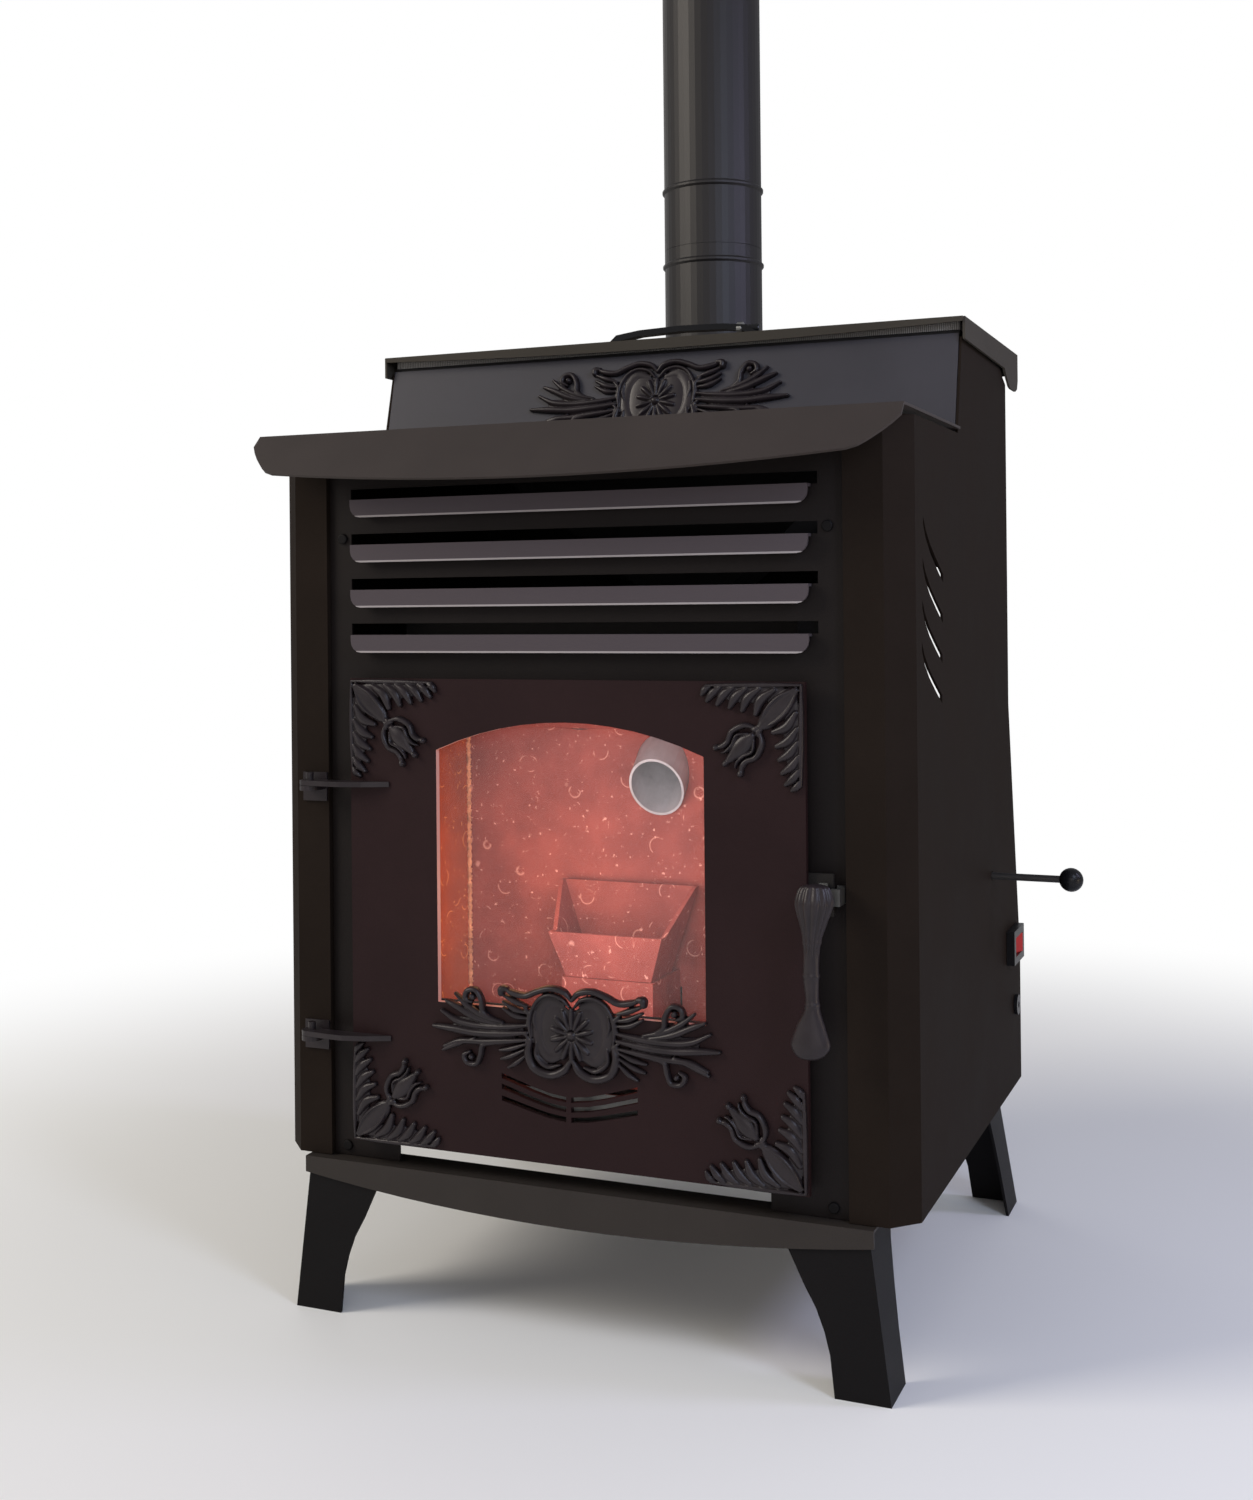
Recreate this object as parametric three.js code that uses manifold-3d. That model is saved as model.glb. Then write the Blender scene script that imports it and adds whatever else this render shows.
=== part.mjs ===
// Pellet stove: sheet casing, firebox with arched door, hopper with lid, flue and air path.
// Millimetres, +Z up, the front faces -Y. While building, X = 0 is the middle of the body,
// Y = 0 is the front bend of the side plates and Z = 0 is the floor.
import * as THREE from 'three';
import { mergeVertices } from 'three/addons/utils/BufferGeometryUtils.js';
import Module from 'manifold-3d';

const wasm = await Module();
wasm.setup();

// ---------------------------------------------------------------- driving dimensions
const GAP = 0.3;                 // working gap between pieces that rest on each other
const SHEET = 2;                 // casing sheet
const FOLD = SHEET * Math.tan(Math.PI / 8);   // inner corner of a 45-degree fold
const PAST = 5;                  // how far a cutter reaches beyond the sheet it cuts
const BODY_HALF = 261;           // half width over the side plates
const POST_FRONT = -19;          // front face of the corner posts
const POST_OUTER = BODY_HALF - 18.3;   // where the post face meets its chamfer
const POST_RETURN = 10;          // how far the post folds back beside the frame
const FRAME_HALF = BODY_HALF - 48;          // half width of the front frame
const FRAME_FRONT = -14;         // front face of the front frame
const BODY_BOTTOM = 123;         // underside of the side plates
const BODY_TOP = 697.7;          // top edge of the front frame
const SIDE_TOP = 695;            // top edge of the side plates in front of the hopper
const TOP_Z = 700;               // upper face of the top plate
const TOP_HALF = BODY_HALF + 2;            // half width of the top plate
const TOP_FRONT = -38;           // fold between top plate and hood
const TOP_REAR = 150;            // rear edge of the top plate
const HOOD_DROP = 62;            // slope length of the hood at its middle
const REAR_UPPER = 358;          // rear face beside the hopper
const REAR_LOWER = 405;          // rear face near the floor
const REAR_STEP_TOP = 470;       // height where the rear starts to lean out
const REAR_STEP_LOW = 240;       // height where the rear turns upright again
const REAR_LOW = 125;            // lower edge of the rear panel
const SIDE_REAR_TOP = 757;       // upper edge of the side plates and the rear panel behind
const HOPPER_LEAN_TOP = 169.2;   // Y of the hopper front at its upper edge
const HOPPER_FRONT_TOP = 777;    // upper edge of the hopper front
const SLAT_TOPS = [647.5, 611.7, 575.9, 540.1];
const LOUVRE_HALF = FRAME_HALF - 19.5;
const SLAT_HALF = LOUVRE_HALF - 4.5;
const SLAT_FRONT = -23.5;
const SLAT_DROP = 14;
const SLAT_CORNER = 9;
const LOUVRE_HIGH = 9;
const DOORWAY_HALF = FRAME_HALF - 63;
const DOORWAY_LOW = 156;
const DOORWAY_HIGH = 490;
const UNDERCUT_HALF = FRAME_HALF - 59;       // cut-out in the frame's lower edge
const UNDERCUT_TOP = 136;
const FLOOR_Z = 152;             // underside of the floor plate

const RAIL_HALF = BODY_HALF - 28;
const RAIL_FRONT = -27;
const RAIL_TOP = 122.7;
const RAIL_END_LOW = 110;        // lower edge of the rail at its ends
const RAIL_MIDDLE_LOW = 93.5;
const LEG_SHEET = 2.5;
const LEG_TOP = 120.4;
const LEG_SPLAY = 0.125;         // sideways lean per millimetre of drop
const REAR_LEG_SPLAY = 0.17;     // backward lean of the rear legs
const FRONT_LEG_BEND = RAIL_HALF - 4;  // X of the front leg's bend at its top
const REAR_LEG_BEND = BODY_HALF - 24;

const FLUE_X = -57;
const FLUE_Z = 505;
const FLUE_R = 50;
const FLUE_WALL = 2;
const STACK_Y = 472;
const STACK_TOP = 1200;
const STACK_JOINT = 926;
const TEE_LOW = 435;
const TEE_HIGH = 590;
const LOWER_BEAD = 910;
const UPPER_BEAD = 987;
const BEAD_R = 52;

const BOX_HALF = DOORWAY_HALF + 16;          // firebox, outside
const BOX_WALL = 3;
const BOX_FRONT = -11.7;
const BOX_REAR = 127;
const BOX_LOW = 197;
const BOX_MOUTH_TOP = 503;
const BOX_TOP = 563;
const BOX_NECK = 25;             // Y where the firebox steps up behind its mouth

const POT = {
  rimLeft: -70, rimRight: 52, rimFront: 55, rimRear: 118,
  footLeft: -44, footRight: 30, footFront: 65, footRear: 110,
  low: 262, frontHigh: 298, rearHigh: 332, wall: 3,
};
const POT_SEAT = 2.5;            // how far the holder's walls stand outside the pot's foot
const HOLDER = {
  left: POT.footLeft - POT_SEAT, right: POT.footRight + POT_SEAT, front: POT.footFront - POT_SEAT,
  rear: BOX_REAR - BOX_WALL - GAP, low: BOX_LOW + BOX_WALL + GAP, high: POT.low - GAP, wall: 3,
};
const DUCT = { left: -24, right: 36, wall: 2, lowZ: 205, lowTop: 249, highZ: 306, highTop: 350,
  shaftFront: 216, shaftRear: 260, front: 127.3, rear: 392 };
const CHUTE = { x: 17.5, y: 210, radius: 24, wall: 2, mouthY: 112, mouthZ: 412, top: 561.7 };
const CHUTE_SLOPE = (42 * Math.PI) / 180;
const BIN = { half: BODY_HALF - 2.5, front: 173, rear: REAR_UPPER - 4.5, rim: 780, waist: 760,
  throat: CHUTE.top + GAP, wall: 2, lip: 8 };

const PIVOT_X = -FRAME_HALF - 10;      // door hinge line
const PIVOT_Y = -31.6;
const PIN_R = 3;
const DOOR_HALF = FRAME_HALF - 26;
const DOOR_LOW = 141;
const DOOR_HIGH = 506;
const DOOR_FRONT = -28;
const DOOR_REAR = -23;
const WINDOW_HALF = DOOR_HALF - 76.7;
const WINDOW_LOW = 256;
const WINDOW_CORNER = 451;
const WINDOW_APEX = 474;
const HINGE_LEVELS = [[421, 425], [222, 226]];
const LATCH_X = DOOR_HALF + 12;
const LATCH_Z = 354.6;
const SPINDLE_R = 4;

const LID = { half: BODY_HALF + 4, top: 789, front: 162, rear: 400, low: 770, earLow: 754 };
const LID_PIVOT_Y = REAR_UPPER + 20;
const LID_PIVOT_Z = 770;

const ROD_Y = 273;
const ROD_Z = 328;
const ROD_R = 3;
const BALL_X = BODY_HALF + 66;
const BALL_R = 10;
const BLADE_FROM = 34.5;
const BLADE_TO = 94.5;

const SWITCH_Y = 360;
const SWITCH_Z = 254;
const SWITCH = {
  halfY: 24, halfZ: 15, face: BODY_HALF + 7.3, back: BODY_HALF - 19,
  bodyHalfY: 20, bodyHalfZ: 12, pocketY: 16.5, pocketZ: 8.5, pocketX: BODY_HALF - 7,
  pivotX: BODY_HALF + 1, pinR: 1.5, pinHalf: 10.5, tilt: 12,
};
const GLAND_Y = 377;
const GLAND_Z = 196;
const GLAND = { flange: 9, thick: 3, stem: 4.7, bore: 2.8, depth: 11 };

// ---------------------------------------------------------------- shaping helpers
function toSolid(geometry) {
  const bare = geometry.clone();
  bare.deleteAttribute('normal');
  bare.deleteAttribute('uv');
  const merged = mergeVertices(bare, 1e-4);
  return new wasm.Manifold(new wasm.Mesh({
    numProp: 3,
    vertProperties: new Float32Array(merged.attributes.position.array),
    triVerts: new Uint32Array(merged.index.array),
  }));
}

function toGeometry(solid) {
  const mesh = solid.getMesh();
  const geometry = new THREE.BufferGeometry();
  geometry.setAttribute('position', new THREE.BufferAttribute(mesh.vertProperties, 3));
  geometry.setIndex(new THREE.BufferAttribute(mesh.triVerts, 1));
  geometry.computeVertexNormals();
  return geometry;
}

const join = (first, ...rest) => rest.reduce((sum, next) => sum.add(next), first);
const cut = (first, ...rest) => rest.reduce((left, next) => left.subtract(next), first);

// A block between two limits on each axis.
function block(x0, x1, y0, y1, z0, z1) {
  const geometry = new THREE.BoxGeometry(x1 - x0, y1 - y0, z1 - z0);
  geometry.translate((x0 + x1) / 2, (y0 + y1) / 2, (z0 + z1) / 2);
  return toSolid(geometry);
}

// A flat outline pulled along an axis. The outline's pairs are (y, z) for 'x', (x, z) for 'y'
// and (x, y) for 'z'.
function prism(axis, outline, from, to) {
  const shape = new THREE.Shape(outline.map(([a, b]) => new THREE.Vector2(a, b)));
  const geometry = new THREE.ExtrudeGeometry(shape, { depth: to - from, bevelEnabled: false });
  const along = {
    x: [new THREE.Vector3(0, 1, 0), new THREE.Vector3(0, 0, 1), new THREE.Vector3(1, 0, 0)],
    y: [new THREE.Vector3(1, 0, 0), new THREE.Vector3(0, 0, 1), new THREE.Vector3(0, -1, 0)],
    z: [new THREE.Vector3(1, 0, 0), new THREE.Vector3(0, 1, 0), new THREE.Vector3(0, 0, 1)],
  }[axis];
  geometry.applyMatrix4(new THREE.Matrix4().makeBasis(...along));
  const shift = { x: [from, 0, 0], y: [0, to, 0], z: [0, 0, from] }[axis];
  geometry.translate(...shift);
  return toSolid(geometry);
}

// A round bar between two limits along an axis; a and b are the other two coordinates in order.
function bar(axis, radius, from, to, a, b, sides = 24) {
  const geometry = new THREE.CylinderGeometry(radius, radius, to - from, sides);
  const middle = (from + to) / 2;
  if (axis === 'x') {
    geometry.rotateZ(Math.PI / 2);
    geometry.translate(middle, a, b);
  } else if (axis === 'y') {
    geometry.translate(a, middle, b);
  } else {
    geometry.rotateX(Math.PI / 2);
    geometry.translate(a, b, middle);
  }
  return toSolid(geometry);
}

// A turned piece about an upright axis at (x, y); the profile's pairs are (radius, z).
function turned(profile, x, y, sides) {
  const points = profile.map(([r, z]) => new THREE.Vector2(r, z));
  const geometry = new THREE.LatheGeometry(points, sides);
  geometry.rotateX(Math.PI / 2);
  geometry.translate(x, y, 0);
  return outward(geometry);
}

// The same solid with its faces pointing out, whichever way the profile ran.
function outward(geometry) {
  const solid = toSolid(geometry);
  return solid.volume() < 0 ? toSolid(flipped(geometry)) : solid;
}

function flipped(geometry) {
  const copy = geometry.clone();
  const order = copy.index.array;
  for (let i = 0; i < order.length; i += 3) {
    const held = order[i];
    order[i] = order[i + 1];
    order[i + 1] = held;
  }
  return copy;
}

// The left-hand twin of a right-hand solid.
function mirrored(solid) {
  const geometry = toGeometry(solid);
  geometry.scale(-1, 1, 1);
  return toSolid(flipped(geometry));
}

function moved(solid, x, y, z) {
  const geometry = toGeometry(solid);
  geometry.translate(x, y, z);
  return toSolid(geometry);
}

// A straight-sided funnel between two level rectangles given as [x0, x1, y0, y1].
function frustum(low, lowZ, high, highZ) {
  const corners = ([x0, x1, y0, y1], z) => [[x0, y0, z], [x1, y0, z], [x1, y1, z], [x0, y1, z]];
  const points = [...corners(low, lowZ), ...corners(high, highZ)].flat();
  const faces = [0, 2, 1, 0, 3, 2, 4, 5, 6, 4, 6, 7];
  for (let i = 0; i < 4; i += 1) {
    const next = (i + 1) % 4;
    faces.push(i, next, next + 4, i, next + 4, i + 4);
  }
  const geometry = new THREE.BufferGeometry();
  geometry.setAttribute('position', new THREE.BufferAttribute(new Float32Array(points), 3));
  geometry.setIndex(faces);
  return toSolid(geometry);
}

// Points on an arc through the two ends, bulging by rise at the middle.
function bow(start, end, rise, steps) {
  const [x0, y0] = start;
  const [x1, y1] = end;
  const half = Math.hypot(x1 - x0, y1 - y0) / 2;
  const radius = (half * half + rise * rise) / (2 * Math.abs(rise));
  const across = [(x1 - x0) / (2 * half), (y1 - y0) / (2 * half)];
  const side = [-across[1], across[0]];
  const points = [];
  for (let i = 0; i <= steps; i += 1) {
    const t = -half + (2 * half * i) / steps;
    const height = (Math.sqrt(radius * radius - t * t) - (radius - Math.abs(rise))) * Math.sign(rise);
    points.push([
      (x0 + x1) / 2 + across[0] * t + side[0] * height,
      (y0 + y1) / 2 + across[1] * t + side[1] * height,
    ]);
  }
  return points;
}

// A rectangle with rounded lower corners.
function apron(half, low, high, corner, steps = 4) {
  const points = [[half, high], [-half, high]];
  for (let i = 0; i <= steps; i += 1) {
    const angle = Math.PI + (i / steps) * (Math.PI / 2);
    points.push([-half + corner + corner * Math.cos(angle), low + corner + corner * Math.sin(angle)]);
  }
  for (let i = 0; i <= steps; i += 1) {
    const angle = 1.5 * Math.PI + (i / steps) * (Math.PI / 2);
    points.push([half - corner + corner * Math.cos(angle), low + corner + corner * Math.sin(angle)]);
  }
  return points;
}

// An arched outline: flat foot, upright sides and a shallow arch.
function arched(half, low, corner, apex, steps = 12) {
  return [[-half, low], [half, low], ...bow([half, corner], [-half, corner], corner - apex, steps)];
}

// ---------------------------------------------------------------- the assembly
const inner = new THREE.Group();

function finish(colour, roughness, metalness) {
  return new THREE.MeshStandardMaterial({ color: colour, roughness, metalness });
}
const casing = () => finish(0x3c3733, 0.62, 0.2);
const darkCasing = () => finish(0x2a2624, 0.6, 0.25);
const bareSteel = () => finish(0x8a8a88, 0.4, 0.9);
const sooty = () => finish(0x25211f, 0.85, 0.2);
const castIron = () => finish(0x2c2a29, 0.55, 0.5);

function place(name, solid, material) {
  const mesh = new THREE.Mesh(toGeometry(solid), material);
  mesh.name = name;
  inner.add(mesh);
}

// ---- side panels: post, chamfer and side plate folded from one sheet
const CHAMFER_INNER = POST_OUTER - FOLD;
const sidePlan = [
  [FRAME_HALF + GAP, POST_FRONT + POST_RETURN], [FRAME_HALF + GAP, POST_FRONT],
  [POST_OUTER, POST_FRONT], [BODY_HALF, 0], [BODY_HALF, REAR_LOWER],
  [BODY_HALF - SHEET, REAR_LOWER], [BODY_HALF - SHEET, FOLD],
  [CHAMFER_INNER, POST_FRONT + SHEET], [FRAME_HALF + GAP + SHEET, POST_FRONT + SHEET],
  [FRAME_HALF + GAP + SHEET, POST_FRONT + POST_RETURN],
];
const hopperFootY = TOP_REAR + GAP;
const sideOutline = [
  [POST_FRONT - 1, BODY_BOTTOM + GAP], [REAR_LOWER, BODY_BOTTOM + GAP],
  [REAR_LOWER, REAR_STEP_LOW], [REAR_UPPER, REAR_STEP_TOP], [REAR_UPPER, SIDE_REAR_TOP],
  [REAR_UPPER - 13, SIDE_REAR_TOP + 5], [REAR_UPPER - 24, SIDE_REAR_TOP + 11],
  [HOPPER_LEAN_TOP, HOPPER_FRONT_TOP - 3], [hopperFootY, TOP_Z], [hopperFootY, SIDE_TOP],
  [POST_FRONT - 1, SIDE_TOP],
];
// Four equal slits: where the first starts, its run as (y, z) steps, and the step to the next.
const SLIT_START = [24.7, 621];
const SLIT_RUN = [[0, 0], [8, -9.6], [22.5, -20], [43.5, -30.8], [65.5, -41.3]];
const SLIT_STEP = [-2.4, -30.3];
const SLIT_COUNT = 4;
const SLIT_HALF = 3.2;
function slit(number) {
  const run = SLIT_RUN.map(([y, z]) => [
    SLIT_START[0] + SLIT_STEP[0] * number + y, SLIT_START[1] + SLIT_STEP[1] * number + z,
  ]);
  const upper = run.map(([y, z]) => [y, z + SLIT_HALF]).reverse();
  const lower = run.map(([y, z]) => [y, z - SLIT_HALF]);
  return prism('x', [...lower, ...upper], BODY_HALF - PAST, BODY_HALF + PAST);
}
const slits = Array.from({ length: SLIT_COUNT }, (_, number) => slit(number));
const switchHole = block(BODY_HALF - PAST, BODY_HALF + PAST,
  SWITCH_Y - SWITCH.bodyHalfY - GAP, SWITCH_Y + SWITCH.bodyHalfY + GAP,
  SWITCH_Z - SWITCH.bodyHalfZ - GAP, SWITCH_Z + SWITCH.bodyHalfZ + GAP);
const sideBlank = prism('z', sidePlan, BODY_BOTTOM, HOPPER_FRONT_TOP)
  .intersect(prism('x', sideOutline, 0, BODY_HALF + PAST));
const sideSlit = cut(sideBlank, ...slits);
place('side_panel_left', mirrored(sideSlit), casing());
place('side_panel_right', cut(sideSlit, switchHole,
  bar('x', ROD_R + 1, BODY_HALF - PAST, BODY_HALF + PAST, ROD_Y, ROD_Z),
  bar('x', GLAND.stem + GAP, BODY_HALF - PAST, BODY_HALF + PAST, GLAND_Y, GLAND_Z)), casing());

// ---- front frame with folded louvre slats
const frameRear = FRAME_FRONT + SHEET;
let frame = prism('y', [
  [-FRAME_HALF, BODY_BOTTOM + GAP], [-UNDERCUT_HALF, BODY_BOTTOM + GAP],
  [-UNDERCUT_HALF, UNDERCUT_TOP], [UNDERCUT_HALF, UNDERCUT_TOP],
  [UNDERCUT_HALF, BODY_BOTTOM + GAP], [FRAME_HALF, BODY_BOTTOM + GAP],
  [FRAME_HALF, BODY_TOP], [-FRAME_HALF, BODY_TOP],
], FRAME_FRONT, frameRear);
frame = cut(frame, block(-DOORWAY_HALF, DOORWAY_HALF, FRAME_FRONT - 1, frameRear + 1,
  DOORWAY_LOW, DOORWAY_HIGH));
for (const top of SLAT_TOPS) {
  frame = cut(frame, block(-LOUVRE_HALF, LOUVRE_HALF, FRAME_FRONT - 1, frameRear + 1,
    top, top + LOUVRE_HIGH));
  const ledge = block(-SLAT_HALF, SLAT_HALF, SLAT_FRONT, FRAME_FRONT + 1, top - SHEET, top);
  const face = prism('y', apron(SLAT_HALF, top - SLAT_DROP, top, SLAT_CORNER),
    SLAT_FRONT, SLAT_FRONT + SHEET);
  frame = join(frame, ledge, face);
}
place('front_frame', frame, casing());

// ---- top plate with its sloping hood
// The hood's rounded ends, as (distance inside the top plate's end, slope length) pairs.
const HOOD_END = [[0, 12.8], [5, 21], [11, 29], [19, 38], [25, 43.5], [33, 47]];
const [hoodInset, hoodEndDrop] = HOOD_END[HOOD_END.length - 1];
const hoodRight = HOOD_END.map(([inset, drop]) => [TOP_HALF - inset, -drop]);
const hoodLeft = hoodRight.map(([x, drop]) => [-x, drop]).reverse();
const hoodArc = bow([TOP_HALF - hoodInset, -hoodEndDrop], [hoodInset - TOP_HALF, -hoodEndDrop],
  HOOD_DROP - hoodEndDrop, 16).slice(1, -1);
const hoodOutline = [[-TOP_HALF, 0], [TOP_HALF, 0], ...hoodRight, ...hoodArc, ...hoodLeft];
const hoodShape = new THREE.Shape(hoodOutline.map(([a, b]) => new THREE.Vector2(a, b)));
const hoodGeometry = new THREE.ExtrudeGeometry(hoodShape, { depth: SHEET, bevelEnabled: false });
hoodGeometry.translate(0, 0, -SHEET);
hoodGeometry.rotateX(Math.PI / 4);
hoodGeometry.translate(0, TOP_FRONT, TOP_Z);
const topPlate = prism('x', [
  [TOP_FRONT, TOP_Z], [TOP_FRONT + FOLD, TOP_Z - SHEET], [TOP_REAR, TOP_Z - SHEET],
  [TOP_REAR, TOP_Z],
], -TOP_HALF, TOP_HALF);
place('top_hood', join(topPlate, toSolid(hoodGeometry)), casing());

// ---- hopper front, rear panel and floor
const hopperFoot = TOP_REAR + 0.5;
const lean = (HOPPER_LEAN_TOP - hopperFoot) / (HOPPER_FRONT_TOP - (TOP_Z - SHEET));
const hopperY = (z) => hopperFoot + (z - (TOP_Z - SHEET)) * lean;
const HOPPER_FRONT_LOW = 690;
place('hopper_front', prism('x', [
  [hopperY(HOPPER_FRONT_LOW), HOPPER_FRONT_LOW], [hopperY(HOPPER_FRONT_TOP), HOPPER_FRONT_TOP],
  [hopperY(HOPPER_FRONT_TOP) + SHEET, HOPPER_FRONT_TOP],
  [hopperY(HOPPER_FRONT_LOW) + SHEET, HOPPER_FRONT_LOW],
], -BIN.half, BIN.half), casing());

const REAR_HALF = BODY_HALF - SHEET - GAP;
const LEAN_TRIM = 0.2;           // keeps the leaning part of the rear panel one sheet thick
const rearSheet = prism('x', [
  [REAR_UPPER - SHEET, SIDE_REAR_TOP], [REAR_UPPER - SHEET, REAR_STEP_TOP - LEAN_TRIM],
  [REAR_LOWER - SHEET, REAR_STEP_LOW - LEAN_TRIM], [REAR_LOWER - SHEET, REAR_LOW],
  [REAR_LOWER, REAR_LOW], [REAR_LOWER, REAR_STEP_LOW], [REAR_UPPER, REAR_STEP_TOP],
  [REAR_UPPER, SIDE_REAR_TOP],
], -REAR_HALF, REAR_HALF);
const VENT = { left: -130, right: 110, low: 172, high: 8, pitch: 18, rows: 3 };
const ventSlots = [];
for (let row = 0; row < VENT.rows; row += 1) {
  const low = VENT.low + row * VENT.pitch;
  ventSlots.push(block(VENT.left, VENT.right, REAR_LOWER - SHEET - PAST, REAR_LOWER + PAST,
    low, low + VENT.high));
}
// An air window beside the hopper, seen through the slits of the right side plate.
const REAR_WINDOW = { inner: 165, outer: 235, low: 466, high: 594 };
const rearWindow = block(REAR_WINDOW.inner, REAR_WINDOW.outer,
  REAR_UPPER - SHEET - PAST, REAR_LOWER + PAST, REAR_WINDOW.low, REAR_WINDOW.high);
place('rear_panel', cut(rearSheet,
  bar('y', FLUE_R + GAP, REAR_UPPER - SHEET - PAST, REAR_LOWER, FLUE_X, FLUE_Z, 48),
  block(DUCT.left - GAP, DUCT.right + GAP, REAR_UPPER, REAR_LOWER,
    DUCT.highZ - GAP, DUCT.highTop + GAP),
  rearWindow, ...ventSlots), darkCasing());

const chamferSlope = (BODY_HALF - SHEET - CHAMFER_INNER) / (FOLD - POST_FRONT - SHEET);
const chamferX = (y) => CHAMFER_INNER + (y - POST_FRONT - SHEET) * chamferSlope - GAP;
const returnEnd = POST_FRONT + POST_RETURN + GAP;
const floorRight = [
  [FRAME_HALF - GAP, frameRear + GAP], [FRAME_HALF - GAP, returnEnd],
  [chamferX(returnEnd), returnEnd], [REAR_HALF, SHEET],
  [REAR_HALF, REAR_LOWER - SHEET - GAP],
];
place('floor_plate', prism('z', [
  ...floorRight, ...floorRight.map(([x, y]) => [-x, y]).reverse(),
], FLOOR_Z, FLOOR_Z + SHEET), darkCasing());

// ---- base rail, side bars and legs
const railFoot = bow([RAIL_HALF, RAIL_END_LOW], [-RAIL_HALF, RAIL_END_LOW],
  RAIL_END_LOW - RAIL_MIDDLE_LOW, 16);
const railFace = prism('y', [[-RAIL_HALF, RAIL_TOP], [RAIL_HALF, RAIL_TOP], ...railFoot],
  RAIL_FRONT, RAIL_FRONT + SHEET);
const RAIL_FLANGE_REAR = 4.5;
place('base_rail', join(railFace,
  block(-RAIL_HALF, RAIL_HALF, RAIL_FRONT, RAIL_FLANGE_REAR, RAIL_TOP - SHEET, RAIL_TOP)),
darkCasing());
const BAR = { inner: BODY_HALF - 56, outer: BODY_HALF - 3, rear: REAR_LOWER - 3 };
const baseBar = block(BAR.inner, BAR.outer, RAIL_FLANGE_REAR + GAP, BAR.rear,
  RAIL_TOP - SHEET, RAIL_TOP);
place('base_bar_right', baseBar, darkCasing());
place('base_bar_left', mirrored(baseBar), darkCasing());

// A folded leg standing in the corner at (0, 0): its front plate runs to -X and its side plate
// to +Y. Both lean with the splay.
const LEG_INNER = [[-71, LEG_TOP], [-61, 100], [-53.3, 78], [-46.3, 62], [-42.3, 46],
  [-40.3, 30], [-40.8, 10], [-41, 0]];
const LEG_SIDE = [[60, LEG_TOP], [52, 100], [46.5, 70], [43, 40], [41.7, 0]];
function leg(bendX, faceY, backward, rear) {
  const plate = prism('y', [...LEG_INNER, [0, 0], [0, LEG_TOP]], 0, LEG_SHEET);
  const side = prism('x', [[0, LEG_TOP], ...LEG_SIDE, [0, 0]], -LEG_SHEET, 0);
  const geometry = toGeometry(join(plate, side));
  const turn = rear ? -1 : 1;
  const lean3 = new THREE.Matrix4().set(
    1, 0, -LEG_SPLAY, bendX + LEG_SPLAY * LEG_TOP,
    0, turn, -backward, faceY + backward * LEG_TOP,
    0, 0, 1, 0,
    0, 0, 0, 1,
  );
  geometry.applyMatrix4(lean3);
  return toSolid(rear ? flipped(geometry) : geometry);
}
const frontLeg = leg(FRONT_LEG_BEND, RAIL_FRONT + SHEET + GAP, 0, false);
const rearLeg = leg(REAR_LEG_BEND, REAR_LOWER, REAR_LEG_SPLAY, true);
place('leg_front_right', frontLeg, darkCasing());
place('leg_front_left', mirrored(frontLeg), darkCasing());
place('leg_rear_right', rearLeg, darkCasing());
place('leg_rear_left', mirrored(rearLeg), darkCasing());

// ---- hopper bin, seal and chute
const binWall = BIN.wall;
const binRect = [-BIN.half, BIN.half, BIN.front, BIN.rear];
const throatRect = [CHUTE.x - CHUTE.radius, CHUTE.x + CHUTE.radius,
  CHUTE.y - CHUTE.radius, CHUTE.y + CHUTE.radius];
const shrink = ([x0, x1, y0, y1], by) => [x0 + by, x1 - by, y0 + by, y1 - by];
const binOuter = join(
  block(-BIN.half, BIN.half, BIN.front, BIN.rear, BIN.waist, BIN.rim),
  frustum(throatRect, BIN.throat, binRect, BIN.waist),
);
const binInner = join(
  block(-BIN.half + binWall, BIN.half - binWall, BIN.front + binWall, BIN.rear - binWall,
    BIN.waist - 0.01, BIN.rim - SHEET),
  block(-BIN.half + BIN.lip, BIN.half - BIN.lip, BIN.front + BIN.lip, BIN.rear - BIN.lip,
    BIN.waist, BIN.rim + 1),
  frustum(shrink(throatRect, binWall), BIN.throat - 1, shrink(binRect, binWall), BIN.waist),
);
place('hopper_bin', cut(binOuter, binInner), bareSteel());
const sealLow = BIN.rim + GAP;
const sealHigh = LID.top - SHEET - GAP;
place('lid_seal', cut(
  block(-BIN.half + GAP, BIN.half - GAP, BIN.front + GAP, BIN.rear - GAP, sealLow, sealHigh),
  block(-BIN.half + BIN.lip, BIN.half - BIN.lip, BIN.front + BIN.lip, BIN.rear - BIN.lip,
    sealLow - 1, sealHigh + 1),
), finish(0x1a1a1a, 0.9, 0));

// The chute drops from the hopper to an elbow, then slopes forward into the firebox.
const elbowZ = CHUTE.mouthZ + (CHUTE.y - CHUTE.mouthY) * Math.tan(CHUTE_SLOPE);
function chuteRun(radius, past) {
  const length = (CHUTE.y - CHUTE.mouthY) / Math.cos(CHUTE_SLOPE) + past;
  const run = new THREE.CylinderGeometry(radius, radius, length, 32);
  run.translate(0, -length / 2, 0);
  run.rotateX(CHUTE_SLOPE);
  run.translate(CHUTE.x, CHUTE.y, elbowZ);
  return toSolid(run);
}
function chuteBody(radius, past, top) {
  const elbow = new THREE.SphereGeometry(radius, 32, 16);
  elbow.translate(CHUTE.x, CHUTE.y, elbowZ);
  return join(chuteRun(radius, past), toSolid(elbow),
    bar('z', radius, elbowZ, top, CHUTE.x, CHUTE.y, 32));
}
const MOUTH_CUT = { wide: 80, deep: 60, high: 120 };
const mouthCut = new THREE.BoxGeometry(MOUTH_CUT.wide, MOUTH_CUT.deep, MOUTH_CUT.high);
mouthCut.translate(0, -MOUTH_CUT.deep / 2, 0);
mouthCut.rotateX(CHUTE_SLOPE / 2);
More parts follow.
